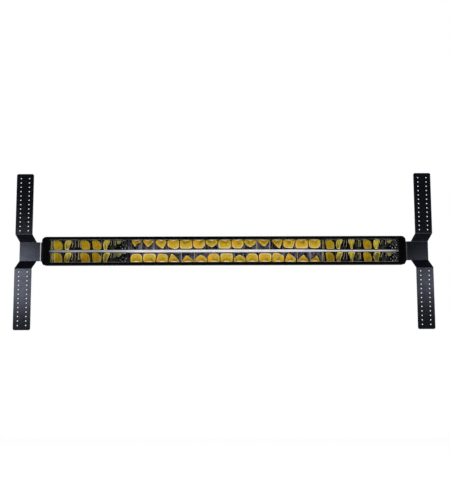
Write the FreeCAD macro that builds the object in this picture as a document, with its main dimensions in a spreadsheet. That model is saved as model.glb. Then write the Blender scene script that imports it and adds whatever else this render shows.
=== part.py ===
"""A double-row LED driving light bar on two tilting end brackets with perforated arms.

Millimetres. +X runs along the bar to its right end as the viewer in front sees it, -Y is the way the
light shines and +Z is up. The origin is the middle of the bar, on the axis of the two bracket pivots.
Everything but the two brackets belongs to the bar, and each bracket tilts about the pivot axis.
"""
import FreeCAD, Part

import math
import os

import Sketcher

# ---------------------------------------------------------------- driving sizes

SIZES = {
    # bar envelope, front face to fin tips
    "bar_length": 1084.0,
    "bar_height": 85.8,
    "bar_depth": 84.0,
    # moulded front frame and the window in it
    "bezel_corner": 13.0,
    "bezel_depth": 16.0,
    "bezel_lip": 2.5,
    "bezel_wall": 5.0,
    "bezel_end": 10.5,
    "bezel_edge_round": 1.2,
    "window_end_margin": 21.0,
    "window_band": 8.9,
    "window_corner": 3.0,
    # lens and the seal behind it
    "lens_thickness": 4.0,
    "lens_corner": 4.0,
    "part_clearance": 0.3,
    "seal_thickness": 1.5,
    "seal_width": 2.4,
    # extruded housing
    "rim_wall": 2.5,
    "trough_depth": 22.0,
    "web_thickness": 7.0,
    "chamber_depth": 17.0,
    "chamber_inset": 18.0,
    "rear_wall": 3.0,
    "body_inset": 2.5,
    "waist_inset": 4.2,
    "waist_setback": 34.0,
    "back_inset": 15.0,
    "fin_thickness": 2.4,
    "fin_gap": 5.2,
    "groove_count": 9,
    # end caps
    "cap_length": 16.8,
    "cap_seal": 1.5,
    "cap_tongue": 6.0,
    "cap_edge_round": 2.5,
    "boss_rear_y": 26.0,
    "boss_rise": 2.5,
    "boss_corner": 6.0,
    "boss_margin": 0.5,
    "cap_screw_inset": 8.7,
    "cap_screw_rear_inset": 6.0,
    "cap_screw_depth": 14.0,
    "cap_screw_radius": 2.0,
    "cap_screw_head_radius": 3.5,
    "cap_screw_head_height": 4.0,
    "cap_socket_radius": 1.8,
    "cap_socket_depth": 2.0,
    # reflectors: fifteen square cells in the middle, four wide cells at each end, in two rows
    "divider_height": 8.0,
    "divider_round": 2.4,
    "centre_cells": 15,
    "centre_pitch": 38.06,
    "end_cells": 4,
    "cell_wall": 1.6,
    "cell_throat": 8.4,
    "reflector_gap": 0.5,
    # light-emitting diodes and their boards
    "led_side": 7.0,
    "led_base": 1.0,
    "led_dome_radius": 3.0,
    "led_dome": 1.6,
    "board_thickness": 1.6,
    "board_margin": 0.35,
    "pad_thickness": 0.5,
    # small screws
    "small_screw_radius": 1.5,
    "small_head_radius": 2.8,
    "small_head_height": 2.0,
    "small_screw_bite": 5.0,
    "bezel_screw_end": 60.5,
    "bezel_screw_pairs": 2,
    "bezel_screw_head": 1.6,
    "thread_clearance": 0.15,
    # driver
    "driver_length": 300.0,
    "driver_margin": 4.0,
    "driver_standoff": 2.0,
    "standoff_radius": 3.0,
    "driver_inset": 6.0,
    "capacitor_radius": 5.0,
    "capacitor_height": 10.0,
    "capacitor_pitch": 15.0,
    "capacitor_count": 4,
    "inductor_radius": 8.5,
    "inductor_bore": 4.0,
    "inductor_height": 8.0,
    "inductor_pitch": 25.5,
    "chip_width": 10.0,
    "chip_height": 4.4,
    "chip_pitch": 18.0,
    "chip_count": 4,
    "component_inset": 35.0,
    "lead_radius": 1.1,
    "lead_overlap": 2.5,
    "lead_inset": 8.0,
    "wire_hole_radius": 1.6,
    # cable outlet and vent in the backs of the end caps
    "outlet_radius": 5.0,
    "outlet_drop": 18.0,
    "outlet_length": 9.0,
    "outlet_passage_radius": 3.4,
    "gland_hex_radius": 7.2,
    "gland_hex_height": 4.0,
    "gland_nut_radius": 6.0,
    "gland_nut_height": 6.0,
    "gland_bore": 2.6,
    "vent_radius": 6.4,
    "vent_height": 2.6,
    # brackets
    "sheet_thickness": 3.0,
    "bend_inside": 2.0,
    "plate_front_y": -25.0,
    "plate_half_height": 28.5,
    "plate_root": 15.5,
    "strip_width": 51.0,
    "joggle_height": 22.2,
    "joggle_depth": 14.0,
    "joggle_outset": 10.5,
    "arm_length": 183.5,
    "arm_corner": 5.0,
    "hole_radius": 1.8,
    "hole_rows": 13,
    "hole_pitch": 13.2,
    "hole_spacing": 24.7,
    "first_hole": 11.1,
    "flange_rear_y": 32.0,
    "flange_corner": 12.0,
    # pivot and lock hardware
    "friction_thickness": 1.0,
    "friction_radius": 14.0,
    "pivot_radius": 4.0,
    "pivot_fit": 0.05,
    "pivot_bite": 14.0,
    "pivot_washer_radius": 9.0,
    "pivot_head_radius": 7.5,
    "pivot_head_height": 5.3,
    "washer_thickness": 1.6,
    "lock_offset": 20.0,
    "lock_radius": 3.0,
    "lock_clearance": 0.5,
    "lock_bite": 10.0,
    "lock_washer_radius": 6.0,
    "lock_head_radius": 5.8,
    "lock_head_height": 4.0,
    "tilt_range": 25.0,
    "slot_spare": 1.0,
}

ROWS = {"upper": 1, "lower": -1}
ALONG = {
    "x": FreeCAD.Rotation(FreeCAD.Vector(0, 1, 0), 90),
    "y": FreeCAD.Rotation(FreeCAD.Vector(1, 0, 0), -90),
    "z": FreeCAD.Rotation(),
}


class Size:
    """A length that knows both its spreadsheet expression and its value."""

    def __init__(self, text, number):
        self.text = text
        self.number = number

    def __add__(self, other):
        other = as_size(other)
        return Size(f"({self.text} + {other.text})", self.number + other.number)

    def __sub__(self, other):
        other = as_size(other)
        return Size(f"({self.text} - {other.text})", self.number - other.number)

    def __mul__(self, factor):
        factor = as_size(factor)
        return Size(f"({self.text} * {factor.text})", self.number * factor.number)

    def __truediv__(self, divisor):
        divisor = as_size(divisor)
        return Size(f"({self.text} / {divisor.text})", self.number / divisor.number)

    def __neg__(self):
        return Size(f"(-1 * {self.text})", -self.number)

    __radd__ = __add__
    __rmul__ = __mul__


def as_size(number):
    return number if isinstance(number, Size) else Size(repr(number), float(number))


def tangent_of_half(rise, run):
    """The tangent of half the angle whose tangent is rise / run."""
    angle = math.atan2(rise.number, run.number)
    return Size(f"tan(atan({rise.text} / {run.text}) / 2)", math.tan(angle / 2))


def swung(radius, angle):
    """Where a point at radius from the pivot comes to when it swings up by angle in degrees."""
    turn = math.radians(angle.number)
    across = Size(f"cos({angle.text})", math.cos(turn))
    up = Size(f"sin({angle.text})", math.sin(turn))
    return radius * across, radius * up


doc = FreeCAD.newDocument("light_bar")
sheet = doc.addObject("Spreadsheet::Sheet", "sizes")
for row, (alias, number) in enumerate(SIZES.items(), start=1):
    sheet.set(f"A{row}", alias)
    sheet.set(f"B{row}", str(number))
    sheet.setAlias(f"B{row}", alias)
doc.recompute()


def size(alias):
    return Size(f"sizes.{alias}", float(sheet.get(alias)))


def count(alias):
    return int(sheet.get(alias))


# ---------------------------------------------------------------- derived places

half_length = size("bar_length") / 2
half_height = size("bar_height") / 2
front = -(size("bar_depth") / 2)
fin_tip = size("bar_depth") / 2
gap = size("part_clearance")

lens_front = front + size("bezel_lip")
lens_back = lens_front + size("lens_thickness")
rim_front = lens_back + size("seal_thickness")
bezel_back = front + size("bezel_depth")
web_front = rim_front + size("trough_depth")
web_back = web_front + size("web_thickness")
chamber_back = web_back + size("chamber_depth")
fin_root = chamber_back + size("rear_wall")
waist = bezel_back + size("waist_setback")

body_half_height = half_height - size("body_inset")
waist_half_height = half_height - size("waist_inset")
back_half_height = half_height - size("back_inset")
chamber_half_height = half_height - size("chamber_inset")
driver_half_height = chamber_half_height - size("driver_margin")
driver_half_length = size("driver_length") / 2
cap_screw_z = half_height - size("cap_screw_inset")
cavity_half_height = half_height - size("bezel_wall")
cavity_half_length = half_length - size("bezel_end")
rim_half_height = cavity_half_height - gap
trough_half_height = rim_half_height - size("rim_wall")
cap_inner = half_length - size("cap_length")
housing_end = cap_inner - size("cap_seal")
boss_face = half_length + size("boss_rise")
boss_front = bezel_back + size("cap_edge_round") + size("boss_margin")
boss_half_height = cap_screw_z - size("cap_screw_head_radius") - gap - size("boss_margin")
window_half_length = half_length - size("window_end_margin")
window_half_height = half_height - size("window_band")

divider_half = size("divider_height") / 2
centre_end = size("centre_pitch") * size("centre_cells") / 2
reflector_end = housing_end - gap
end_pitch = (reflector_end - centre_end) / size("end_cells")
row_low = divider_half + gap
row_high = window_half_height
row_middle = (row_low + row_high) / 2
board_half_height = (row_high - row_low) / 2 - size("board_margin")
board_back = web_front - size("pad_thickness")
board_front = board_back - size("board_thickness")
reflector_front = rim_front + size("reflector_gap")

flange_inner = boss_face + size("friction_thickness")
flange_outer = flange_inner + size("sheet_thickness")
bend_outside = size("bend_inside") + size("sheet_thickness")
plate_back = size("plate_front_y") + size("sheet_thickness")
plate_inner = flange_inner + size("plate_root")
plate_outer = plate_inner + size("strip_width")
arm_inner = plate_inner + size("joggle_outset")
arm_outer = plate_outer + size("joggle_outset")
arm_middle = (arm_inner + arm_outer) / 2
arm_front = size("plate_front_y") - size("joggle_depth")
arm_back = arm_front + size("sheet_thickness")
arm_root = size("plate_half_height") + size("joggle_height")
arm_tip = arm_root + size("arm_length")

bezel_screw_y = (rim_front + bezel_back) / 2
small_hole = size("small_screw_radius") + size("thread_clearance")
outlet_x = (cap_inner + half_length) / 2
outlet_z = -size("outlet_drop")
driver_back = chamber_back - size("driver_standoff")
driver_front = driver_back - size("board_thickness")
slot_half_width = size("lock_radius") + size("lock_clearance")

# ---------------------------------------------------------------- building tools


def bind(piece, **expressions):
    for name, expression in expressions.items():
        piece.setExpression(name.replace("__", "."), as_size(expression).text)
    return piece


def put(piece, x, y, z):
    return bind(piece, Placement__Base__x=x, Placement__Base__y=y, Placement__Base__z=z)


def new(kind, name, owner=None):
    return owner.newObject(kind, name) if owner else doc.addObject(kind, name)


def block(x, y, z, name="block", owner=None, kind="Part::Box"):
    """A box between the (low, high) pairs x, y and z."""
    piece = new(kind, name, owner)
    bind(piece, Length=x[1] - x[0], Width=y[1] - y[0], Height=z[1] - z[0])
    return put(piece, x[0], y[0], z[0])


def rod(axis, start, radius, length, name="rod", owner=None, kind="Part::Cylinder"):
    """A cylinder that begins at start and runs along +axis."""
    piece = new(kind, name, owner)
    piece.Placement = FreeCAD.Placement(FreeCAD.Vector(), ALONG[axis])
    bind(piece, Radius=radius, Height=length)
    return put(piece, *start)


def frustum(x, y, near, far, name="frustum", owner=None, kind="Part::Wedge", z=None):
    """A block along +Y whose half sizes across (half width, half height) go from near to far."""
    piece = new(kind, name, owner)
    bind(
        piece,
        Xmin=-near[0], Xmax=near[0], X2min=-far[0], X2max=far[0],
        Zmin=-near[1], Zmax=near[1], Z2min=-far[1], Z2max=far[1],
        Ymin=0, Ymax=y[1] - y[0],
    )
    return put(piece, x, y[0], as_size(0) if z is None else z)


def body(label):
    return new("PartDesign::Body", label)


def add_block(owner, x, y, z):
    return block(x, y, z, "pad", owner, "PartDesign::AdditiveBox")


def cut_block(owner, x, y, z):
    return block(x, y, z, "pocket", owner, "PartDesign::SubtractiveBox")


def cut_rod(owner, axis, start, radius, length):
    return rod(axis, start, radius, length, "hole", owner, "PartDesign::SubtractiveCylinder")


def repeat(owner, features, axis, pitch, copies):
    """Copies of features along one of the body's axes, the first where it already is."""
    pattern = owner.newObject("PartDesign::LinearPattern", "pattern")
    pattern.Originals = features
    direction = next(o for o in owner.Origin.OriginFeatures if o.Role == f"{axis}_Axis")
    pattern.Direction = (direction, [""])
    bind(pattern, Occurrences=copies, Length=pitch * (copies - 1))
    owner.Tip = pattern
    doc.recompute()
    return pattern


def line_edges(shape, axis, chosen):
    """Names of the straight edges along axis, or any way if it is None, whose middle is chosen."""
    names = []
    for number, edge in enumerate(shape.Edges, start=1):
        ends = [vertex.Point for vertex in edge.Vertexes]
        if len(ends) != 2 or not isinstance(edge.Curve, (Part.Line, Part.LineSegment)):
            continue
        run = ends[1] - ends[0]
        along = axis is None or abs(run.dot(axis)) > 0.999 * run.Length
        if along and chosen((ends[0] + ends[1]) * 0.5):
            names.append(f"Edge{number}")
    return names


def round_edges(owner, axis, chosen, radius):
    doc.recompute()
    base = owner.Tip
    edges = line_edges(base.Shape, axis, chosen)
    if not edges:
        raise ValueError(f"no edge to round on {owner.Label}")
    fillet = owner.newObject("PartDesign::Fillet", f"{owner.Label}_round")
    fillet.Base = (base, edges)
    bind(fillet, Radius=radius)
    doc.recompute()
    return fillet


X_AXIS = FreeCAD.Vector(1, 0, 0)
Y_AXIS = FreeCAD.Vector(0, 1, 0)
Z_AXIS = FreeCAD.Vector(0, 0, 1)


def anywhere(point):
    return True


def near(a, b):
    return abs(a - as_size(b).number) < 1e-4


def outline_body(label, plane, points, length):
    """A body padded both ways from a closed outline on one of its origin planes."""
    owner = body(label)
    sketch = owner.newObject("Sketcher::SketchObject", f"{label}_sketch")
    flat = next(o for o in owner.Origin.OriginFeatures if o.Role == f"{plane}_Plane")
    sketch.AttachmentSupport = [(flat, "")]
    sketch.MapMode = "FlatFace"
    corners = [FreeCAD.Vector(u.number, v.number, 0) for u, v in points]
    for start, end in zip(corners, corners[1:] + corners[:1]):
        sketch.addGeometry(Part.LineSegment(start, end))
    for line in range(len(points)):
        following = (line + 1) % len(points)
        sketch.addConstraint(Sketcher.Constraint("Coincident", line, 2, following, 1))
    for line, (u, v) in enumerate(points):
        for kind, distance in (("DistanceX", u), ("DistanceY", v)):
            place = sketch.addConstraint(
                Sketcher.Constraint(kind, -1, 1, line, 1, distance.number)
            )
            sketch.setExpression(f"Constraints[{place}]", distance.text)
    pad = owner.newObject("PartDesign::Pad", f"{label}_pad")
    pad.Profile = sketch
    pad.Midplane = True
    bind(pad, Length=length)
    doc.recompute()
    return owner


def combine(kind, name, pieces):
    """A boolean of pieces: Part::Cut takes two, the others any number."""
    result = doc.addObject(kind, name)
    if kind == "Part::Cut":
        result.Base, result.Tool = pieces
    elif kind == "Part::Compound":
        result.Links = pieces
    else:
        result.Shapes = pieces
    return result


def fuse(name, *pieces):
    return combine("Part::MultiFuse", name, list(pieces))


def cut(name, base, *tools):
    tool = tools[0] if len(tools) == 1 else combine("Part::MultiFuse", f"{name}_tool", list(tools))
    return combine("Part::Cut", name, [base, tool])


def copies(label, master, places):
    """One node of separate solids: the master's shape at each place, as (rotation, x, y, z)."""
    doc.recompute()
    solids = []
    for rotation, x, y, z in places:
        base = FreeCAD.Vector(as_size(x).number, as_size(y).number, as_size(z).number)
        move = FreeCAD.Placement(base, rotation)
        solids += [solid.copy().transformed(move.toMatrix()) for solid in master.Shape.Solids]
    group = doc.addObject("Part::Feature", label)
    group.Shape = Part.makeCompound(solids)
    return group


def mirrored(label, source):
    """The same piece on the other end of the bar."""
    twin = doc.addObject("Part::Mirroring", label)
    twin.Source = source
    twin.Normal = X_AXIS
    return twin


NODES = []


def node(piece, label=None):
    piece.Label = label or piece.Label
    NODES.append(piece)
    return piece


def both_ways(half):
    return (-half, half)


# ---------------------------------------------------------------- where things repeat


def bezel_screw_places():
    pairs = count("bezel_screw_pairs")
    pitch = (half_length - size("bezel_screw_end")) / size("bezel_screw_pairs")
    columns = [pitch * number for number in range(-pairs, pairs + 1)]
    return [(x, sign) for x in columns for sign in (1, -1)]


CENTRE_SCREW_STEPS = (1.5, 4.5)
END_SCREW_STEPS = (1, 3)


def board_screw_columns():
    """Between two cells, so many cells out from the middle of the bar or into an end section."""
    right = [size("centre_pitch") * step for step in CENTRE_SCREW_STEPS]
    right += [centre_end + end_pitch * step for step in END_SCREW_STEPS]
    return right + [-x for x in right]


def cell_columns():
    """The middles of one row's cells: the middle section's, then each end section's."""
    middle = [
        size("centre_pitch") * (number - (count("centre_cells") - 1) / 2)
        for number in range(count("centre_cells"))
    ]
    right = [centre_end + end_pitch * (number + 0.5) for number in range(count("end_cells"))]
    return middle + right + [-x for x in right]


def cap_screw_places():
    rows = ((web_front + web_back) / 2, fin_root - size("cap_screw_rear_inset"))
    return [(y, cap_screw_z * sign) for y in rows for sign in (1, -1)]


def driver_corner_places():
    x = driver_half_length - size("driver_inset")
    z = driver_half_height - size("driver_inset")
    return [(x * i, z * j) for i in (1, -1) for j in (1, -1)]


def wire_hole_places():
    x = driver_half_length + size("driver_inset")
    z = row_middle - size("lead_inset")
    return [(x * sign, z * up) for sign in (1, -1) for up in ROWS.values()]


# ---------------------------------------------------------------- front: bezel, lens, seal


def front_bezel():
    bezel = body("front_bezel")
    add_block(bezel, both_ways(half_length), (front, bezel_back), both_ways(half_height))
    round_edges(bezel, Y_AXIS, anywhere, size("bezel_corner"))
    round_edges(bezel, None, lambda at: near(at.y, front), size("bezel_edge_round"))
    cut_block(
        bezel, both_ways(cavity_half_length), (lens_front, bezel_back), both_ways(cavity_half_height)
    )
    cut_block(
        bezel, both_ways(window_half_length), (front, lens_front), both_ways(window_half_height)
    )
    round_edges(bezel, Y_AXIS, at_window_corner, size("window_corner"))
    for x, sign in bezel_screw_places():
        start = cavity_half_height if sign > 0 else -half_height
        cut_rod(bezel, "z", (x, bezel_screw_y, start), small_hole, size("bezel_wall"))
        cut_countersink(bezel, x, sign)
    return node(bezel)


def cut_countersink(owner, x, sign):
    wide = size("small_head_radius") + size("thread_clearance")
    seat = owner.newObject("PartDesign::SubtractiveCone", "countersink")
    radii = (small_hole, wide) if sign > 0 else (wide, small_hole)
    bind(seat, Radius1=radii[0], Radius2=radii[1], Height=size("bezel_screw_head"))
    start = half_height - size("bezel_screw_head") if sign > 0 else -half_height
    put(seat, x, bezel_screw_y, start)


def at_window_corner(point):
    return near(abs(point.x), window_half_length) and near(abs(point.z), window_half_height)


def lens():
    cover = body("lens")
    length = cavity_half_length - gap
    height = cavity_half_height - gap
    add_block(cover, both_ways(length), (lens_front, lens_back), both_ways(height))
    round_edges(cover, Y_AXIS, anywhere, size("lens_corner"))
    return node(cover)


def lens_seal():
    ring = body("lens_seal")
    length = cavity_half_length - gap
    add_block(ring, both_ways(length), (lens_back, rim_front), both_ways(rim_half_height))
    round_edges(ring, Y_AXIS, anywhere, size("lens_corner"))
    inner_length = length - size("seal_width")
    inner_height = rim_half_height - size("seal_width")
    cut_block(ring, both_ways(inner_length), (lens_back, rim_front), both_ways(inner_height))
    return node(ring)


def bezel_screws():
    head = new("Part::Cone", "bezel_screw_head")
    bind(
        head,
        Radius1=size("small_screw_radius"),
        Radius2=size("small_head_radius"),
        Height=size("bezel_screw_head"),
    )
    shank = rod(
        "z",
        (as_size(0), as_size(0), trough_half_height - half_height + gap),
        size("small_screw_radius"),
        half_height - trough_half_height - gap,
    )
    put(head, as_size(0), as_size(0), -size("bezel_screw_head"))
    screw = fuse("bezel_screw", head, shank)
    upside_down = FreeCAD.Rotation(X_AXIS, 180)
    places = [
        (ALONG["z"] if sign > 0 else upside_down, x, bezel_screw_y, half_height * sign)
        for x, sign in bezel_screw_places()
    ]
    return node(copies("bezel_screws", screw, places))


# ---------------------------------------------------------------- housing and end caps


def outer_profile(owner, x):
    """The finned body's outer shape between two x: a front rim, a slight taper, then a steep one."""
    middle = (x[0] + x[1]) / 2
    half_run = (x[1] - x[0]) / 2
    sections = [
        (bezel_back, body_half_height),
        (waist, waist_half_height),
        (fin_tip, back_half_height),
    ]
    for (y0, z0), (y1, z1) in zip(sections, sections[1:]):
        frustum(
            middle, (y0, y1), (half_run, z0), (half_run, z1),
            "profile", owner, "PartDesign::AdditiveWedge",
        )


def housing():
    shell = body("housing")
    ends = both_ways(housing_end)
    outer_profile(shell, ends)
    add_block(shell, ends, (rim_front, bezel_back), both_ways(rim_half_height))
    cut_block(shell, ends, (rim_front, web_front), both_ways(trough_half_height))
    cut_block(shell, ends, (web_back, chamber_back), both_ways(chamber_half_height))
    groove_pitch = size("fin_thickness") + size("fin_gap")
    first = -(groove_pitch * (size("groove_count") - 1) / 2) - size("fin_gap") / 2
    groove = cut_block(shell, ends, (fin_root, fin_tip), (first, first + size("fin_gap")))
    repeat(shell, [groove], "Z", groove_pitch, size("groove_count"))
    for x, sign in bezel_screw_places():
        start = trough_half_height if sign > 0 else -rim_half_height
        cut_rod(shell, "z", (x, bezel_screw_y, start), small_hole, size("rim_wall"))
    depth = size("small_screw_bite")
    for x in board_screw_columns():
        for up in ROWS.values():
            cut_rod(shell, "y", (x, web_front, row_middle * up), small_hole, depth)
    for x, z in wire_hole_places():
        cut_rod(shell, "y", (x, web_front, z), size("wire_hole_radius"), size("web_thickness"))
    cap_hole = size("cap_screw_radius") + size("thread_clearance")
    for y, z in cap_screw_places():
        for start in (-housing_end, housing_end - size("cap_screw_depth")):
            cut_rod(shell, "x", (start, y, z), cap_hole, size("cap_screw_depth"))
    return node(shell)


def end_cap():
    cap = body("right_end_cap")
    outer_profile(cap, (cap_inner, half_length))
    round_edges(cap, None, lambda at: near(at.x, half_length), size("cap_edge_round"))
    add_block(
        cap,
        (cap_inner, cap_inner + size("cap_tongue")),
        (rim_front, bezel_back),
        both_ways(rim_half_height),
    )
    cap_hole = size("cap_screw_radius") + size("thread_clearance")
    head_hole = size("cap_screw_head_radius") + gap
    for y, z in cap_screw_places():
        cut_rod(cap, "x", (cap_inner, y, z), cap_hole, size("cap_length"))
        start = half_length - size("cap_screw_head_height")
        cut_rod(cap, "x", (start, y, z), head_hole, size("cap_screw_head_height"))
    cut_rod(
        cap,
        "y",
        (outlet_x, fin_tip - size("outlet_length"), outlet_z),
        size("outlet_radius") + size("thread_clearance"),
        size("outlet_length"),
    )
    cut_rod(
        cap,
        "y",
        (outlet_x, chamber_back - size("outlet_length"), outlet_z),
        size("outlet_passage_radius"),
        fin_tip - chamber_back,
    )
    cut_block(
        cap,
        (cap_inner, outlet_x),
        (chamber_back - size("outlet_length"), chamber_back),
        (outlet_z - size("gland_bore"), outlet_z + size("gland_bore")),
    )
    boss_ends = (boss_front, size("boss_rear_y"))
    add_block(cap, (half_length, boss_face), boss_ends, both_ways(boss_half_height))
    round_edges(cap, X_AXIS, at_boss_corner, size("boss_corner"))
    for y, radius, bite in (
        (as_size(0), size("pivot_radius"), size("pivot_bite")),
        (size("lock_offset"), size("lock_radius"), size("lock_bite")),
    ):
        start = boss_face - bite - gap
        cut_rod(cap, "x", (start, y, as_size(0)), radius + size("thread_clearance"), bite + gap)
    node(cap)
    node(mirrored("left_end_cap", cap))


def at_boss_corner(point):
    beside = near(point.y, boss_front) or near(point.y, size("boss_rear_y"))
    return beside and near(abs(point.z), boss_half_height)


def end_seal():
    """A flat gasket between the extrusion's end and the cap, open where the two hollows are."""
    seal = body("right_end_seal")
    ends = (housing_end, cap_inner)
    outer_profile(seal, ends)
    add_block(seal, ends, (rim_front, bezel_back), both_ways(rim_half_height))
    cut_block(seal, ends, (rim_front, web_front), both_ways(trough_half_height))
    cut_block(seal, ends, (web_back, chamber_back), both_ways(chamber_half_height))
    cut_block(seal, ends, (fin_root, fin_tip), both_ways(half_height))
    cap_hole = size("cap_screw_radius") + size("thread_clearance")
    for y, z in cap_screw_places():
        cut_rod(seal, "x", (housing_end, y, z), cap_hole, size("cap_seal"))
    node(seal)
    node(mirrored("left_end_seal", seal))


def end_cap_screws():
    head_seat = half_length - size("cap_screw_head_height")
    shank_start = housing_end - size("cap_screw_depth") + gap
    origin = (shank_start, as_size(0), as_size(0))
    shank = rod("x", origin, size("cap_screw_radius"), head_seat - shank_start)
    head = rod(
        "x",
        (head_seat, as_size(0), as_size(0)),
        size("cap_screw_head_radius"),
        size("cap_screw_head_height") - gap,
    )
    socket = new("Part::Prism", "hex_socket")
    socket.Placement = FreeCAD.Placement(FreeCAD.Vector(), ALONG["x"])
    bind(socket, Circumradius=size("cap_socket_radius"), Height=size("cap_socket_depth"))
    put(socket, half_length - size("cap_socket_depth") - gap, as_size(0), as_size(0))
    screw = cut("end_cap_screw", fuse("end_cap_screw_solid", shank, head), socket)
    turned = FreeCAD.Rotation(Z_AXIS, 180)
    places = [(ALONG["z"], as_size(0), y, z) for y, z in cap_screw_places()]
    places += [(turned, as_size(0), y, z) for y, z in cap_screw_places()]
    return node(copies("end_cap_screws", screw, places))


# ---------------------------------------------------------------- optics: divider and reflectors


def row_divider():
    """The bright rib between the two rows, with a rounded front edge."""
    rib = body("row_divider")
    depths = (reflector_front, board_front)
    add_block(rib, both_ways(reflector_end), depths, both_ways(divider_half))
    round_edges(rib, X_AXIS, lambda at: near(at.y, reflector_front), size("divider_round"))
    return node(rib)


def reflector(row, section):
    """A tray of funnel-shaped cells, wide at the lens and as narrow as a diode at the board."""
    up = ROWS[row]
    cells = "centre_cells" if section == "centre" else "end_cells"
    pitch = size("centre_pitch") if section == "centre" else end_pitch
    sign = -1 if section == "left" else 1
    if section == "centre":
        ends = both_ways(centre_end - gap)
        first = -(pitch * (size(cells) - 1) / 2)
    else:
        ends = (centre_end + gap, reflector_end)
        first = centre_end + pitch / 2
        if sign < 0:
            ends = (-reflector_end, -(centre_end + gap))
            first = -reflector_end + pitch / 2
    heights = (row_low, row_high) if up > 0 else (-row_high, -row_low)
    tray = body(f"{row}_{section}_reflector")
    add_block(tray, ends, (reflector_front, board_front), heights)
    mouth = (pitch / 2 - size("cell_wall"), (row_high - row_low) / 2 - size("cell_wall"))
    throat = (size("cell_throat") / 2, size("cell_throat") / 2)
    cell = frustum(
        first, (reflector_front, board_front), mouth, throat,
        "cell", tray, "PartDesign::SubtractiveWedge", row_middle * up,
    )
    repeat(tray, [cell], "X", pitch, size(cells))
    head_hole = size("small_head_radius") + gap
    for x in board_screw_columns():
        if ends[0].number < x.number < ends[1].number:
            start = board_front - size("small_head_height") - gap
            depth = size("small_head_height") + gap
            cut_rod(tray, "y", (x, start, row_middle * up), head_hole, depth)
    return node(tray)


# ---------------------------------------------------------------- light sources and their boards


def led_board(row):
    up = ROWS[row]
    board = body(f"{row}_led_board")
    heights = (row_middle * up - board_half_height, row_middle * up + board_half_height)
    add_block(board, both_ways(reflector_end), (board_front, board_back), heights)
    for x in board_screw_columns():
        start = (x, board_front, row_middle * up)
        cut_rod(board, "y", start, small_hole, size("board_thickness"))
    return node(board)


def thermal_pad(row):
    up = ROWS[row]
    pad = body(f"{row}_thermal_pad")
    heights = (row_middle * up - board_half_height, row_middle * up + board_half_height)
    add_block(pad, both_ways(reflector_end), (board_back, web_front), heights)
    for x in board_screw_columns():
        start = (x, board_back, row_middle * up)
        cut_rod(pad, "y", start, small_hole, size("pad_thickness"))
    for x, z in wire_hole_places():
        if z.number * up > 0:
            cut_rod(pad, "y", (x, board_back, z), size("wire_hole_radius"), size("pad_thickness"))
    return node(pad)


def led_row(row):
    half = size("led_side") / 2
    base = block(both_ways(half), (-size("led_base"), as_size(0)), both_ways(half))
    dome = rod(
        "y",
        (as_size(0), -(size("led_base") + size("led_dome")), as_size(0)),
        size("led_dome_radius"),
        size("led_dome"),
    )
    emitter = fuse(f"{row}_led", base, dome)
    places = [(ALONG["z"], x, board_front, row_middle * ROWS[row]) for x in cell_columns()]
    return node(copies(f"{row}_leds", emitter, places))


def board_screws():
    head = rod(
        "y",
        (as_size(0), -size("small_head_height"), as_size(0)),
        size("small_head_radius"),
        size("small_head_height"),
    )
    reach = size("board_thickness") + size("pad_thickness") + size("small_screw_bite") - gap
    shank = rod("y", (as_size(0), as_size(0), as_size(0)), size("small_screw_radius"), reach)
    screw = fuse("board_screw", head, shank)
    places = [
        (ALONG["z"], x, board_front, row_middle * up)
        for x in board_screw_columns()
        for up in ROWS.values()
    ]
    return node(copies("board_screws", screw, places))


# ---------------------------------------------------------------- driver in the rear chamber


def driver_board():
    board = body("driver_board")
    depths = (driver_front, driver_back)
    add_block(board, both_ways(driver_half_length), depths, both_ways(driver_half_height))
    for x, z in driver_corner_places():
        cut_rod(board, "y", (x, driver_front, z), small_hole, size("board_thickness"))
    return node(board)


def driver_standoffs():
    tube = rod(
        "y", (as_size(0),) * 3, size("standoff_radius"), size("driver_standoff"), "standoff_tube"
    )
    bore = rod("y", (as_size(0),) * 3, small_hole, size("driver_standoff"), "standoff_bore")
    standoff = cut("standoff", tube, bore)
    places = [(ALONG["z"], x, driver_back, z) for x, z in driver_corner_places()]
    return node(copies("driver_standoffs", standoff, places))


def driver_screws():
    head = rod(
        "y",
        (as_size(0), -size("small_head_height"), as_size(0)),
        size("small_head_radius"),
        size("small_head_height"),
    )
    reach = size("board_thickness") + size("driver_standoff")
    shank = rod("y", (as_size(0),) * 3, size("small_screw_radius"), reach)
    screw = fuse("driver_screw", head, shank)
    places = [(ALONG["z"], x, driver_front, z) for x, z in driver_corner_places()]
    return node(copies("driver_screws", screw, places))


def on_driver(first, pitch, number):
    """A row of places along the middle of the driver board, from x = first."""
    return [
        (ALONG["z"], first + size(pitch) * step, driver_front, as_size(0))
        for step in range(count(number))
    ]


def driver_capacitors():
    can = rod(
        "y",
        (as_size(0), -size("capacitor_height"), as_size(0)),
        size("capacitor_radius"),
        size("capacitor_height"),
        "capacitor",
    )
    first = size("component_inset") - driver_half_length
    return node(copies("driver_capacitors", can, on_driver(first, "capacitor_pitch", "capacitor_count")))


def driver_inductors():
    start = (as_size(0), -size("inductor_height"), as_size(0))
    ring = rod("y", start, size("inductor_radius"), size("inductor_height"), "inductor_ring")
    hole = rod("y", start, size("inductor_bore"), size("inductor_height"), "inductor_hole")
    inductor = cut("inductor", ring, hole)
    places = [
        (ALONG["z"], size("inductor_pitch") / 2 * side, driver_front, as_size(0)) for side in (-1, 1)
    ]
    return node(copies("driver_inductors", inductor, places))


def driver_chips():
    half = size("chip_width") / 2
    chip = block(both_ways(half), (-size("chip_height"), as_size(0)), both_ways(half), "chip")
    first = driver_half_length - size("component_inset") - size("chip_pitch") * (size("chip_count") - 1)
    return node(copies("driver_chips", chip, on_driver(first, "chip_pitch", "chip_count")))


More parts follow.
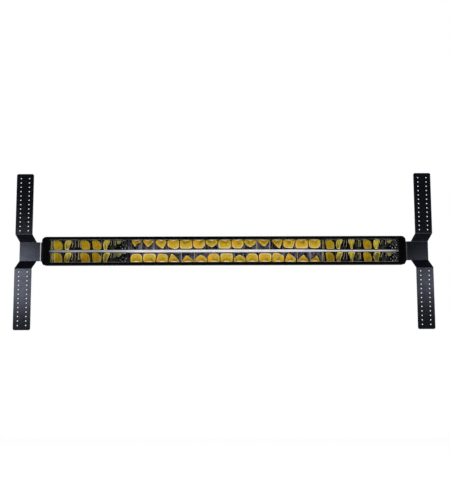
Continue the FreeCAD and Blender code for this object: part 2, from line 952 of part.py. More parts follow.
def board_leads():
    """Four bent leads from the ends of the driver board through the web to the diode boards."""
    depth = driver_front - board_back
    short = rod("y", (as_size(0),) * 3, size("lead_radius"), depth, "board_lead")
    foot = size("driver_inset") + size("lead_overlap")
    elbow = rod(
        "x",
        (-foot, depth - size("lead_radius"), as_size(0)),
        size("lead_radius"),
        foot,
        "board_lead_foot",
    )
    lead = fuse("board_lead_bent", short, elbow)
    turned = FreeCAD.Rotation(Y_AXIS, 180)
    places = [
        (ALONG["z"] if x.number > 0 else turned, x, board_back, z)
        for x, z in wire_hole_places()
    ]
    return node(copies("board_leads", lead, places))


def supply_leads():
    """Two leads from the driver board along the chamber to the cable outlet."""
    start = driver_half_length - size("lead_overlap")
    run = rod("x", (as_size(0),) * 3, size("lead_radius"), outlet_x - start, "supply_run")
    y = driver_front - size("lead_radius")
    lower = outlet_z - size("lead_radius") - gap
    upper = outlet_z + size("lead_radius") + gap
    places = [(ALONG["z"], start, y, z) for z in (lower, upper)]
    return node(copies("supply_leads", run, places))


# ---------------------------------------------------------------- cable outlet and vent


def cable_gland():
    centre = (outlet_x, fin_tip, outlet_z)
    start = (outlet_x, fin_tip - size("outlet_length") + gap, outlet_z)
    thread = rod("y", start, size("outlet_radius"), size("outlet_length") - gap, "gland_thread")
    collar = new("Part::Prism", "gland_collar")
    collar.Placement = FreeCAD.Placement(FreeCAD.Vector(), ALONG["y"])
    bind(collar, Circumradius=size("gland_hex_radius"), Height=size("gland_hex_height"))
    put(collar, *centre)
    passage = rod(
        "y",
        start,
        size("gland_bore"),
        size("outlet_length") + size("gland_hex_height"),
        "gland_passage",
    )
    node(cut("gland_body", fuse("gland_solid", thread, collar), passage), "gland_body")
    nut_start = (outlet_x, fin_tip + size("gland_hex_height"), outlet_z)
    nut = rod("y", nut_start, size("gland_nut_radius"), size("gland_nut_height"), "nut_solid")
    bore = rod("y", nut_start, size("gland_bore"), size("gland_nut_height"), "nut_bore")
    node(cut("gland_nut", nut, bore), "gland_nut")


def vent_plug():
    start = (-outlet_x, fin_tip - size("outlet_length") + gap, outlet_z)
    thread = rod("y", start, size("outlet_radius"), size("outlet_length") - gap, "vent_thread")
    head = rod(
        "y", (-outlet_x, fin_tip, outlet_z), size("vent_radius"), size("vent_height"), "vent_head"
    )
    node(fuse("vent_plug", thread, head))


# ---------------------------------------------------------------- brackets


def arm_strip():
    """The side view of the arms and the plate between them, bent from one sheet."""
    mitre = size("sheet_thickness") * tangent_of_half(size("joggle_depth"), size("joggle_height"))
    upper = [
        (size("plate_front_y"), size("plate_half_height")),
        (arm_front, arm_root),
        (arm_front, arm_tip),
        (arm_back, arm_tip),
        (arm_back, arm_root + mitre),
        (plate_back, size("plate_half_height") + mitre),
    ]
    lower = [(y, -z) for y, z in reversed(upper)]
    strip = outline_body("arm_strip", "YZ", upper + lower, arm_outer * 2)
    inside_bends = [(size("plate_front_y"), size("plate_half_height")), (arm_back, arm_root + mitre)]
    outside_bends = [(arm_front, arm_root), (plate_back, size("plate_half_height") + mitre)]
    for bends, radius in ((inside_bends, size("bend_inside")), (outside_bends, bend_outside)):
        round_edges(
            strip,
            X_AXIS,
            lambda at: any(near(at.y, y) and near(abs(at.z), z) for y, z in bends),
            radius,
        )
    return strip


def arm_outline():
    """The front view of the same sheet, with its rounded tips and its rows of holes."""
    upper = [
        (plate_inner, size("plate_half_height")),
        (arm_inner, arm_root),
        (arm_inner, arm_tip),
        (arm_outer, arm_tip),
        (arm_outer, arm_root),
        (plate_outer, size("plate_half_height")),
    ]
    lower = [(x, -z) for x, z in reversed(upper)]
    outline = outline_body("arm_outline", "XZ", upper + lower, size("bar_depth") * 2)
    round_edges(outline, Y_AXIS, lambda at: near(abs(at.z), arm_tip), size("arm_corner"))
    last_hole = arm_root + size("first_hole") + size("hole_pitch") * (size("hole_rows") - 1)
    for side in (-1, 1):
        x = arm_middle + size("hole_spacing") / 2 * side
        for start in (arm_root + size("first_hole"), -last_hole):
            hole = cut_rod(
                outline, "y", (x, -size("bar_depth"), start), size("hole_radius"), size("bar_depth") * 2
            )
            repeat(outline, [hole], "Z", size("hole_pitch"), size("hole_rows"))
    return outline


def flange_and_plate():
    """The plate's inner end, and the flange that turns back from it beside the end cap."""
    rear = size("flange_rear_y")
    points = [
        (flange_inner, size("plate_front_y")),
        (plate_inner + bend_outside, size("plate_front_y")),
        (plate_inner + bend_outside, plate_back),
        (flange_outer, plate_back),
        (flange_outer, rear),
        (flange_inner, rear),
    ]
    angle = outline_body("flange", "XY", points, size("plate_half_height") * 2)
    for x, y, radius in (
        (flange_inner, size("plate_front_y"), bend_outside),
        (flange_outer, plate_back, size("bend_inside")),
    ):
        round_edges(angle, Z_AXIS, lambda at: near(at.x, x) and near(at.y, y), radius)
    round_edges(angle, X_AXIS, lambda at: near(at.y, rear), size("flange_corner"))
    return angle


def tilt_slot():
    """An arc about the pivot, as wide as the lock bolt needs over the whole tilt."""
    half_angle = size("tilt_range") + size("slot_spare")
    turn = FreeCAD.Rotation(X_AXIS, -half_angle.number) * FreeCAD.Rotation(Y_AXIS, Z_AXIS, X_AXIS)
    rings = []
    for radius in (size("lock_offset") + slot_half_width, size("lock_offset") - slot_half_width):
        disc = new("Part::Cylinder", "slot_disc")
        bind(disc, Radius=radius, Height=size("sheet_thickness"), Angle=half_angle * 2)
        disc.Placement = FreeCAD.Placement(FreeCAD.Vector(), turn)
        put(disc, flange_inner, as_size(0), as_size(0))
        rings.append(disc)
    y, z = swung(size("lock_offset"), half_angle)
    ends = [
        rod("x", (flange_inner, y, z * sign), slot_half_width, size("sheet_thickness"))
        for sign in (-1, 1)
    ]
    return fuse("tilt_slot", cut("slot_sector", *rings), *ends)


def brackets():
    sheet_metal = combine("Part::MultiCommon", "arms", [arm_strip(), arm_outline()])
    blank = fuse("bracket_blank", sheet_metal, flange_and_plate())
    blank.Refine = True
    pivot_hole = rod(
        "x",
        (flange_inner, as_size(0), as_size(0)),
        size("pivot_radius") + size("pivot_fit"),
        size("sheet_thickness"),
    )
    right = cut("right_bracket", blank, pivot_hole, tilt_slot())
    node(right)
    node(mirrored("left_bracket", right))


# ---------------------------------------------------------------- pivot and lock hardware


def bolt(label, y, radius, bite, head_radius, head_height):
    """A hexagon bolt into the boss, its head on the washer outside the flange."""
    seat = flange_outer + size("washer_thickness")
    shank = rod("x", (boss_face - bite, y, as_size(0)), radius, seat - boss_face + bite)
    head = new("Part::Prism", f"{label}_head")
    head.Placement = FreeCAD.Placement(FreeCAD.Vector(), ALONG["x"])
    bind(head, Circumradius=head_radius, Height=head_height)
    put(head, seat, y, as_size(0))
    return fuse(f"right_{label}", shank, head)


def washer(label, y, x, thickness, outer, inner):
    disc = rod("x", (x, y, as_size(0)), outer, thickness, f"{label}_disc")
    hole = rod("x", (x, y, as_size(0)), inner, thickness, f"{label}_hole")
    return cut(f"right_{label}", disc, hole)


def pivot_hardware():
    centre = as_size(0)
    lock_y = size("lock_offset")
    pieces = {
        "friction_washer": washer(
            "friction_washer", centre, boss_face, size("friction_thickness"),
            size("friction_radius"), size("pivot_radius") + size("pivot_fit"),
        ),
        "pivot_washer": washer(
            "pivot_washer", centre, flange_outer, size("washer_thickness"),
            size("pivot_washer_radius"), size("pivot_radius") + size("pivot_fit"),
        ),
        "lock_washer": washer(
            "lock_washer", lock_y, flange_outer, size("washer_thickness"),
            size("lock_washer_radius"), size("lock_radius") + size("pivot_fit"),
        ),
        "pivot_bolt": bolt(
            "pivot_bolt", centre, size("pivot_radius"), size("pivot_bite"),
            size("pivot_head_radius"), size("pivot_head_height"),
        ),
        "lock_bolt": bolt(
            "lock_bolt", lock_y, size("lock_radius"), size("lock_bite"),
            size("lock_head_radius"), size("lock_head_height"),
        ),
    }
    for label, piece in pieces.items():
        node(piece, f"right_{label}")
        node(mirrored(f"left_{label}", piece))


# ---------------------------------------------------------------- the whole assembly

front_bezel()
lens()
lens_seal()
bezel_screws()
housing()
end_cap()
end_seal()
end_cap_screws()
row_divider()
for row in ROWS:
    for section in ("left", "centre", "right"):
        reflector(row, section)
    led_board(row)
    thermal_pad(row)
    led_row(row)
board_screws()
driver_board()
driver_standoffs()
driver_screws()
driver_capacitors()
driver_inductors()
driver_chips()
board_leads()
supply_leads()
cable_gland()
vent_plug()
brackets()
pivot_hardware()
doc.recompute()

for piece in doc.Objects:
    if {"Invalid", "Error"} & set(piece.State):
        raise RuntimeError(f"{piece.Label} failed to build: {piece.State}")
os.makedirs("parts", exist_ok=True)
for piece in NODES:
    if piece.Shape.isNull() or not piece.Shape.isValid():
        raise RuntimeError(f"{piece.Label} has no valid shape")
    piece.Shape.exportStep(f"parts/{piece.Label}.step")
    print(f"{piece.Label}: {len(piece.Shape.Solids)} solids, {piece.Shape.Volume / 1000:.1f} cm3")
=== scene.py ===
"""The looks of the light bar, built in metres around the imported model.

-Y is the way the light shines, +X runs to the bar's right end and +Z is up.
"""

import math

import bmesh
import bpy
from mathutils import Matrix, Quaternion, Vector, noise


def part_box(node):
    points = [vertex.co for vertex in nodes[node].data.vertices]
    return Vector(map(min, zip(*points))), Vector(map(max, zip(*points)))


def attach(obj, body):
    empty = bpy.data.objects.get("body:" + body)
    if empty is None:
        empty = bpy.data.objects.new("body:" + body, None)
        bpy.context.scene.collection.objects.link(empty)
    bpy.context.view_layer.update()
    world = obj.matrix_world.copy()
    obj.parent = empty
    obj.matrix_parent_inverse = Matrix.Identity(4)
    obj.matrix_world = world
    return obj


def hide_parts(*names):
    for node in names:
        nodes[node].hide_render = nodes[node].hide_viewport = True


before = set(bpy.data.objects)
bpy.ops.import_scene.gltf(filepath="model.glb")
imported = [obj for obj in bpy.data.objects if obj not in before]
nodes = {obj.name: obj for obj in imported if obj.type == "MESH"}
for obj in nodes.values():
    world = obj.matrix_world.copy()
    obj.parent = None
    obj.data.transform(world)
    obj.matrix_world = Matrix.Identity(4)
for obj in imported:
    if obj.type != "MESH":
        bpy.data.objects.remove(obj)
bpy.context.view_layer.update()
MM = 0.001
GRAIN_ROUGHNESS = 0.55

# ---------------------------------------------------------------- material building


def opaque(value):
    """A colour, or a grey given as one number, with full alpha."""
    return (*value, 1.0) if isinstance(value, tuple) else (value, value, value, 1.0)


class Shader:
    """One material's node tree, with its Principled shader at self.main."""

    def __init__(self, name, colour, roughness, metallic=0.0, specular=0.5):
        self.material = bpy.data.materials.new(name)
        self.material.use_nodes = True
        self.tree = self.material.node_tree
        self.main = self.tree.nodes["Principled BSDF"]
        self.set("Base Color", opaque(colour))
        self.set("Roughness", roughness)
        self.set("Metallic", metallic)
        self.set("Specular IOR Level", specular)
        self.place = self.add("ShaderNodeTexCoord").outputs["Object"]

    def set(self, socket, value):
        self.main.inputs[socket].default_value = value

    def add(self, kind, **inputs):
        made = self.tree.nodes.new(kind)
        for key, value in inputs.items():
            self.feed(made.inputs[key.replace("_", " ")], value)
        return made

    def feed(self, socket, value):
        if isinstance(value, bpy.types.NodeSocket):
            self.tree.links.new(value, socket)
        else:
            socket.default_value = value

    def stretched(self, scale):
        mapping = self.add("ShaderNodeMapping", Vector=self.place)
        mapping.inputs["Scale"].default_value = scale
        return mapping.outputs["Vector"]

    def grain(self, scale, detail=3.0, stretch=None):
        place = self.stretched(stretch) if stretch else self.place
        made = self.add("ShaderNodeTexNoise", Vector=place, Scale=scale, Detail=detail)
        self.feed(made.inputs["Roughness"], GRAIN_ROUGHNESS)
        return made.outputs["Fac"]

    def attribute(self, name):
        made = self.add("ShaderNodeAttribute")
        made.attribute_name = name
        return made.outputs["Fac"]

    def ramp(self, factor, *stops):
        """stops are (place, colour or grey)."""
        made = self.add("ShaderNodeValToRGB", Fac=factor)
        band = made.color_ramp
        while len(band.elements) < len(stops):
            band.elements.new(0.5)
        for element, (where, value) in zip(band.elements, stops):
            element.position = where
            element.color = opaque(value)
        return made.outputs["Color"]

    def mix(self, factor, a, b):
        made = self.add("ShaderNodeMix")
        made.data_type = "RGBA"
        self.feed(made.inputs["Factor"], factor)
        colour_inputs = [i for i in made.inputs if i.type == "RGBA"]
        for socket, value in zip(colour_inputs, (a, b)):
            self.feed(socket, opaque(value) if isinstance(value, tuple) else value)
        return next(o for o in made.outputs if o.type == "RGBA")

    def math(self, operation, a, b=0.0, clamp=False):
        made = self.add("ShaderNodeMath")
        made.operation = operation
        made.use_clamp = clamp
        self.feed(made.inputs[0], a)
        self.feed(made.inputs[1], b)
        return made.outputs["Value"]

    def axes(self):
        return self.add("ShaderNodeSeparateXYZ", Vector=self.place).outputs

    def band(self, value, centre, half):
        """1 where value is centre, falling to 0 at half away from it."""
        off = self.math("ABSOLUTE", self.math("SUBTRACT", value, centre))
        return self.math("SUBTRACT", 1.0, self.math("DIVIDE", off, half), clamp=True)

    def colour(self, socket):
        self.feed(self.main.inputs["Base Color"], socket)

    def rough(self, factor, low, high):
        spread = self.ramp(factor, (0.3, low), (0.7, high))
        self.feed(self.main.inputs["Roughness"], spread)

    def bump(self, height, distance, strength):
        made = self.add("ShaderNodeBump", Height=height, Distance=distance, Strength=strength)
        self.tree.links.new(made.outputs["Normal"], self.main.inputs["Normal"])
        return self


def tinted(colour, factor):
    return tuple(channel * factor for channel in colour)


def powder_coat(name, colour, speck=900.0, bend_highlight=0.0, bend=0.0):
    """Satin powder coat with fine pale speckle, and with pale highlights painted along the bends by
    the bar's end.
    """
    made = Shader(name, colour, 0.2)
    made.set("Specular Tint", (0.72, 0.79, 1.0, 1.0))
    fine = made.grain(speck, 4.0)
    broad = made.grain(14.0, 2.0)
    patches = made.ramp(broad, (0.35, 0.0), (0.7, 1.0))
    body = made.mix(patches, tinted(colour, 0.8), tinted(colour, 1.25))
    specks = made.ramp(fine, (0.66, 0.0), (0.76, 1.0))
    coat = made.mix(specks, body, tinted(colour, 4.0))
    # painted highlights: a pale line on the bend beside the bar's end, and faint ones at the
    # plate's top edge and the upper arm's root
    if bend_highlight:
        axes = made.axes()
        across = made.math("ABSOLUTE", axes["X"])
        beside_bar = made.math("MULTIPLY", made.band(across, bend, 1.5 * MM), 2.0, clamp=True)
        on_plate = made.math("LESS_THAN", made.math("ABSOLUTE", axes["Z"]), bracket_root)
        on_plate = made.math("MULTIPLY", on_plate, made.math("LESS_THAN", axes["Y"], plate_rear))
        inner = made.math("MULTIPLY", made.math("MULTIPLY", beside_bar, on_plate), bend_highlight)
        plate_top = made.math("MULTIPLY", made.band(axes["Z"], bracket_root, 1.1 * MM), BEND_HIGHLIGHT)
        arm_root = made.math("MULTIPLY", made.band(axes["Z"], joggle_end, 1.6 * MM), BEND_HIGHLIGHT)
        painted_highlight = made.math("ADD", inner, made.math("ADD", plate_top, arm_root))
        uneven = made.ramp(made.grain(160.0, 2.0), (0.3, 0.75), (0.6, 1.0))
        coat = made.mix(made.math("MULTIPLY", painted_highlight, uneven), coat, (0.8, 0.8, 0.84))
    made.colour(coat)
    made.rough(made.grain(55.0, 3.0), 0.13, 0.17)
    return made.bump(fine, 0.00004, 0.3)


def gloss_black():
    made = Shader("bezel_gloss", (0.003, 0.003, 0.0035), 0.03, specular=0.4)
    wave = made.grain(9.0, 2.0)
    made.colour(made.mix(wave, (0.0014, 0.0014, 0.0018), (0.003, 0.003, 0.0036)))
    made.rough(made.grain(60.0, 4.0), 0.02, 0.045)
    return made.bump(made.grain(120.0, 2.0), 0.00003, 0.1)


def extruded():
    """Satin black anodising over the fine lines that the extrusion die leaves along the bar."""
    made = Shader("housing_coat", (0.02, 0.02, 0.022), 0.5, specular=0.25)
    lines = made.grain(420.0, 3.0, stretch=(0.02, 1.0, 1.0))
    patches = made.grain(11.0, 2.0)
    body = made.mix(patches, (0.016, 0.016, 0.018), (0.026, 0.026, 0.029))
    made.colour(made.mix(made.ramp(lines, (0.62, 0.0), (0.76, 1.0)), body, (0.05, 0.05, 0.055)))
    made.rough(lines, 0.44, 0.56)
    return made.bump(lines, 0.00006, 0.2)


def metal(name, colour, roughness):
    made = Shader(name, colour, roughness, metallic=1.0)
    wear = made.grain(300.0, 4.0)
    patches = made.ramp(wear, (0.3, 0.0), (0.7, 1.0))
    made.colour(made.mix(patches, tinted(colour, 0.8), tinted(colour, 1.12)))
    made.rough(wear, roughness * 0.75, roughness * 1.35)
    return made.bump(wear, 0.00005, 0.25)


def moulded(name, colour, roughness, scale=500.0):
    made = Shader(name, colour, roughness, specular=0.35)
    fine = made.grain(scale, 3.0)
    made.colour(made.mix(made.grain(40.0, 2.0), tinted(colour, 0.8), tinted(colour, 1.25)))
    made.rough(fine, roughness * 0.85, min(1.0, roughness * 1.2))
    return made.bump(fine, 0.0001, 0.3)


def clear_cover():
    """A thin clear moulding: see-through, with the gloss of its surface."""
    head_on, grazing = 0.03, 0.9
    made = Shader("clear_cover", (1.0, 1.0, 1.0), 0.03, metallic=1.0)
    made.rough(made.grain(30.0, 3.0), 0.015, 0.05)
    clear = made.add("ShaderNodeBsdfTransparent")
    clear.inputs["Color"].default_value = (0.985, 0.985, 0.99, 1.0)
    facing = made.add("ShaderNodeLayerWeight", Blend=0.5)
    gloss = made.math("MULTIPLY", made.math("POWER", facing.outputs["Facing"], 5.0), grazing)
    both = made.add("ShaderNodeMixShader", Fac=made.math("ADD", gloss, head_on))
    surface = made.tree.nodes["Material Output"].inputs["Surface"]
    for source, socket in (
        (clear.outputs["BSDF"], both.inputs[1]),
        (made.main.outputs["BSDF"], both.inputs[2]),
        (both.outputs["Shader"], surface),
    ):
        made.tree.links.new(source, socket)
    return made


def gold(name, rim_highlight, side, deep_shade, orange, edge=None, folded=(1.2, 0.5, 0.8), uneven=0.9, fall=0.72):
    """A cup with the light of its phosphor painted in: a painted pale highlight on the rim, golden
    sides, painted shade at the bottom, and orange where "warm" is high. edge is the colour next to
    the rim, where it isn't that of the sides, and fall is the place in the colouring from which the
    painted shade darkens the sides."""
    made = Shader(name, side, 0.3, specular=0.4)
    folds = made.grain(150.0, 2.0, stretch=folded)
    shaken = made.math("MULTIPLY", made.math("SUBTRACT", folds, 0.5), uneven)
    shaken = made.math("ADD", made.attribute("cup"), shaken)
    base = made.ramp(
        shaken,
        (0.0, rim_highlight), (0.12, rim_highlight), (0.3, edge or side), (0.46, side), (fall, side), (1.0, deep_shade),
    )
    made.colour(made.mix(made.attribute("warm"), base, orange))
    made.rough(folds, 0.22, 0.42)
    return made.bump(folds, 0.0005, 0.3)


def mirror_facets(name, dark, light, metallic=0.6):
    made = Shader(name, light, 0.24, metallic=metallic)
    crinkle = made.grain(110.0, 3.0, stretch=(1.5, 1.0, 0.5))
    made.colour(made.ramp(crinkle, (0.36, dark), (0.66, light)))
    made.rough(crinkle, 0.18, 0.36)
    return made.bump(crinkle, 0.0008, 0.35)


def bead_painted_highlights():
    """The bead beside the bezel, with painted light: a painted highlight here and there along its
    long sides, and painted shade at its ends.
    """
    made = Shader("lens_bead", (0.3, 0.3, 0.32), 0.2, specular=0.4)
    painted_light = made.ramp(made.grain(26.0, 3.0, stretch=(1.0, 1.0, 0.2)), (0.32, 0.12), (0.54, 1.0))
    off_middle = made.math("ABSOLUTE", made.axes()["X"])
    long_side = made.math("LESS_THAN", off_middle, window_half - 3.0 * MM)
    painted_light = made.math("MULTIPLY", painted_light, long_side)
    made.colour(made.mix(painted_light, (0.012, 0.012, 0.014), (0.5, 0.48, 0.53)))
    made.rough(made.grain(70.0), 0.12, 0.3)
    return made


def painted_sheen_strip(half_length):
    """The divider's face, with its light painted in: a painted highlight bright in the bar's middle
    and duller towards its ends, and painted shade on the flanks at its ends.
    """
    lean = 0.0018
    made = Shader("painted_sheen_strip", (0.85, 0.84, 0.9), 0.3)
    axes = made.axes()
    along = made.math("DIVIDE", axes["X"], half_length * 2)
    along = made.math("ADD", along, 0.5)
    # painted highlight along the bar: brightest in the middle, duller towards the ends
    band = made.ramp(
        along,
        (0.0, (0.3, 0.31, 0.32)), (0.05, (0.36, 0.36, 0.39)), (0.08, (0.46, 0.46, 0.5)),
        (0.13, (0.4, 0.4, 0.44)), (0.2, (0.66, 0.65, 0.7)), (0.25, (0.85, 0.84, 0.88)),
        (0.5, (0.92, 0.92, 0.94)), (0.8, (0.84, 0.83, 0.87)), (0.96, (0.66, 0.65, 0.7)),
        (1.0, (0.3, 0.3, 0.33)),
    )
    # painted shade on the face's flanks towards the bar's ends, about a lit line that leans a
    # little
    off_line = made.math("ADD", axes["Z"], made.math("MULTIPLY", axes["X"], lean))
    off_line = made.math("DIVIDE", made.math("ABSOLUTE", off_line), 4.0 * MM)
    painted_flank_shade = made.ramp(off_line, (0.34, 0.0), (0.62, 1.0))
    far = made.ramp(along, (0.16, 0.8), (0.26, 0.0), (0.7, 0.0), (0.8, 0.95))
    band = made.mix(made.math("MULTIPLY", painted_flank_shade, far), band, (0.08, 0.08, 0.09))
    streaks = made.grain(120.0, 2.0, stretch=(0.25, 1.0, 1.0))
    made.colour(made.mix(made.ramp(streaks, (0.35, 0.8), (0.6, 1.0)), (0.3, 0.3, 0.33), band))
    made.rough(streaks, 0.2, 0.4)
    return made.bump(streaks, 0.0002, 0.2)


# as in the CAD: half the plate's height, the height where the arm's joggle ends, and a plane
# 1 mm behind the plate
bracket_root, joggle_end, plate_rear = 28.5 * MM, 50.7 * MM, -21.0 * MM
# strength of the faint painted highlights at the plate's top edge and the upper arm's root
BEND_HIGHLIGHT = 0.06
bracket_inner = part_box("right_bracket")[0].x
BLACK = (0.0036, 0.0039, 0.006)
# painted highlight on the bend beside the bar: stronger on the left bracket than on the right
right_coat = powder_coat("right_bracket_coat", BLACK, bend_highlight=0.16, bend=bracket_inner + 2.5 * MM)
left_coat = powder_coat("left_bracket_coat", BLACK, bend_highlight=0.9, bend=bracket_inner + 3.7 * MM)
cap_coat = powder_coat("cap_coat", (0.005, 0.005, 0.006), 650.0)
housing_coat = extruded()
bezel_gloss = gloss_black()
cover = clear_cover()
zinc = metal("zinc_plate", (0.4, 0.4, 0.385), 0.3)
black_oxide = metal("black_oxide", (0.03, 0.03, 0.032), 0.35)
seal_rubber = moulded("seal_rubber", (0.012, 0.012, 0.012), 0.75)
gland_nylon = moulded("gland_nylon", (0.012, 0.012, 0.013), 0.5)
nylon = moulded("washer_nylon", (0.03, 0.03, 0.03), 0.6)
white_mask = moulded("board_white", (0.8, 0.8, 0.78), 0.45, 300.0)
green_mask = moulded("board_green", (0.02, 0.16, 0.06), 0.4, 260.0)
thermal = moulded("thermal_pad", (0.3, 0.31, 0.35), 0.8)
chip = moulded("chip_black", (0.02, 0.02, 0.02), 0.5)
ferrite = moulded("ferrite_grey", (0.05, 0.05, 0.05), 0.7)
lead_red = moulded("lead_red", (0.4, 0.02, 0.015), 0.45)
can = metal("capacitor_can", (0.35, 0.36, 0.4), 0.35)
brass = metal("brass", (0.72, 0.53, 0.22), 0.3)
phosphor = moulded("phosphor", (0.82, 0.62, 0.04), 0.35, 800.0)

strip_low, strip_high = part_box("row_divider")
strip = painted_sheen_strip(strip_high.x)

LOOKS = {
    "front_bezel": bezel_gloss, "lens": cover, "lens_seal": seal_rubber,
    "bezel_screws": black_oxide, "housing": housing_coat,
    "right_end_cap": cap_coat, "left_end_cap": cap_coat,
    "right_end_seal": seal_rubber, "left_end_seal": seal_rubber, "end_cap_screws": black_oxide,
    "row_divider": strip, "board_screws": zinc, "driver_board": green_mask,
    "driver_standoffs": brass, "driver_screws": zinc, "driver_capacitors": can,
    "driver_inductors": ferrite, "driver_chips": chip, "board_leads": lead_red,
    "supply_leads": lead_red, "gland_body": gland_nylon, "gland_nut": gland_nylon,
    "vent_plug": gland_nylon, "right_bracket": right_coat, "left_bracket": left_coat,
}
ENDINGS = {
    "led_board": white_mask, "thermal_pad": thermal, "_leds": phosphor, "friction_washer": nylon,
    "washer": zinc, "bolt": zinc, "reflector": None,
}


def look_of(name):
    """A node's look, by its name or by how that ends; None where the scene's cups replace it."""
    if name in LOOKS:
        return LOOKS[name]
    return next(look for ending, look in ENDINGS.items() if name.endswith(ending))


for name, piece in nodes.items():
    look = look_of(name)
    if look:
        piece.data.materials.clear()
        piece.data.materials.append(look.material)

# ---------------------------------------------------------------- mesh building


def add_piece(name, bm, looks, body, smooth=True):
    mesh = bpy.data.meshes.new(name)
    bm.normal_update()
    bm.to_mesh(mesh)
    bm.free()
    for look in looks:
        mesh.materials.append(look.material)
    piece = bpy.data.objects.new(name, mesh)
    bpy.context.scene.collection.objects.link(piece)
    for face in mesh.polygons:
        face.use_smooth = smooth
    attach(piece, body)
    return piece


def rounded(points):
    """A closed outline with its corners cut twice."""
    near, far = 1 - CORNER_CUT, CORNER_CUT
    for _ in range(2):
        smoother = []
        for a, b in zip(points, points[1:] + points[:1]):
            smoother.append((a[0] * near + b[0] * far, a[1] * near + b[1] * far))
            smoother.append((a[0] * far + b[0] * near, a[1] * far + b[1] * near))
        points = smoother
    return points


def float_layer(bm, name):
    layers = bm.verts.layers.float
    return layers.get(name) or layers.new(name)


class Cell:
    """Maps a cell's own coordinates to the bar: u from -1 to 1 across it, v from 0 at the outer
    edge to 1 beside the divider, and depth behind the mouth of the reflectors. turned is the half
    turn that takes the upper row to the lower one. Hanging cells keep their top up in both rows,
    so there v starts at the divider in the lower row."""

    def __init__(self, x, half_width, turned, hanging=False):
        self.x, self.half_width, self.turned, self.hanging = x, half_width, turned, hanging
        self.hand = -1 if turned and not hanging else 1

    def at(self, u, v, depth):
        x = self.x + u * self.half_width * self.hand
        if self.turned and self.hanging:
            z = -row_inner - v * (row_outer - row_inner)
        else:
            z = row_outer - v * (row_outer - row_inner)
            z = -z if self.turned else z
        return Vector((x, mouth + depth, z))

    def face(self, bm, corners, material):
        """A face that looks out of the reflectors."""
        face = bm.faces.new(corners)
        face.material_index = material
        face.normal_update()
        if face.normal.y > 0:
            face.normal_flip()


tray_low, tray_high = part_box("upper_centre_reflector")
mouth = tray_low.y
row_outer, row_inner = tray_high.z, tray_low.z
CELLS = 15
CELL_SPREAD = 1.01
END_MARGIN = 2.4 * MM
CORNER_CUT = 0.14
# how far the middle section's cups stand to the right of the bar's middle
SHIFT = {"upper": 2.1 * MM, "lower": 8.1 * MM}
pitch = (tray_high.x - tray_low.x) / CELLS * CELL_SPREAD
centre_half = pitch * CELLS / 2
window_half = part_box("upper_right_reflector")[1].x - END_MARGIN

# outlines of the upper row's cups in cell coordinates, in the order in which they come along it
SMALL_POINT = [(-0.5, 0.0), (0.95, 0.0), (0.86, 0.27), (0.32, 0.42), (0.03, 0.7), (-0.3, 0.34)]
POINT = [
    (-0.7, 0.0), (0.9, 0.0), (0.87, 0.22), (0.5, 0.48), (0.05, 0.76), (-0.27, 0.52), (-0.64, 0.22),
]
SKEWED = [
    (-0.72, 0.0), (0.92, 0.0), (0.87, 0.32), (0.62, 0.66), (0.45, 0.88), (0.18, 0.84),
    (-0.35, 0.6), (-0.72, 0.38),
]
CUT = [
    (-0.9, 0.0), (0.9, 0.0), (0.88, 0.56), (0.78, 0.86), (0.3, 0.94), (-0.2, 0.86), (-0.88, 0.64),
]
SQUARE = [(-0.95, 0.0), (0.95, 0.0), (0.95, 0.9), (-0.95, 0.9)]
ROUNDED = [(-0.92, 0.0), (0.93, 0.0), (0.93, 0.58), (0.54, 0.88), (-0.5, 0.88), (-0.86, 0.64)]
PENTAGON = [(-0.93, 0.0), (0.88, 0.0), (0.87, 0.4), (0.0, 0.8), (-0.92, 0.4)]
WIDE_POINT = [(-0.95, 0.0), (0.98, 0.0), (0.96, 0.14), (0.2, 0.76), (-0.92, 0.14)]
SLANTED = [(-0.6, 0.0), (0.98, 0.0), (0.98, 0.24), (0.6, 0.85), (0.43, 0.88), (-0.6, 0.18)]
LEANING = [(-0.87, 0.0), (0.93, 0.0), (0.93, 0.24), (0.58, 0.9), (-0.45, 0.85), (-0.82, 0.7)]
CUPS = [
    SMALL_POINT, POINT, SKEWED, CUT, SQUARE, ROUNDED, PENTAGON, SQUARE,
    ROUNDED, PENTAGON, WIDE_POINT, SLANTED, LEANING, SQUARE, ROUNDED,
]
POINTED = (SMALL_POINT, POINT, SKEWED, PENTAGON, WIDE_POINT, SLANTED)

# rings of a cup: scale of the outline, depth in mm, place in the colouring from the painted
# highlight of the rim to the painted shade of the bottom
CUP_RINGS = [
    (1.0, 9.5, 0.2), (1.0, 1.2, 0.05), (0.98, 0.6, 0.0), (0.93, 0.6, 0.0), (0.88, 1.2, 0.2),
    (0.76, 2.6, 0.4), (0.58, 3.8, 0.56), (0.36, 4.5, 0.68), (0.14, 4.7, 0.72),
]


def centre_painted_shade(v, shade):
    """Painted shade: centre cups are painted darkest by the outer edge, and pale beside the divider
    as a painted highlight.
    """
    return shade + 0.58 - v


def upper_end_painted_shade(v, shade):
    """Painted shade: the upper row's end cups are painted darker from top to foot, inside their
    painted pale rims.
    """
    return shade + (0.08 + 0.5 * v) * min(1.0, 4 * shade)


def lower_end_painted_shade(v, shade):
    """Painted shade as in the upper row, but darker."""
    return shade + (0.3 + 0.5 * v) * min(1.0, 0.1 + 4 * shade)


def warm_side(cell, seed, across, down):
    """Orange towards a cup's left side, more in some cups than in others: a painted tint of the
    phosphor's reflection in the cup's side.
    """
    patchy = 0.9 * noise.noise(Vector((seed * 3.3, down * 1.7, across)))
    return min(0.9, max(0.0, 2.2 * (patchy - 0.55 * cell.hand * across - 0.25)))


def warm_heart(cell, seed, across, down):
    """Orange about a cup's middle, more in some cups than in others."""
    amount = 0.45 + 0.8 * noise.noise(Vector((seed * 2.9, 4.0, 0.5)))
    off = math.hypot((across + 0.15) * 1.7, down * 3.6)
    return min(0.9, max(0.0, amount * (1.15 - off)))


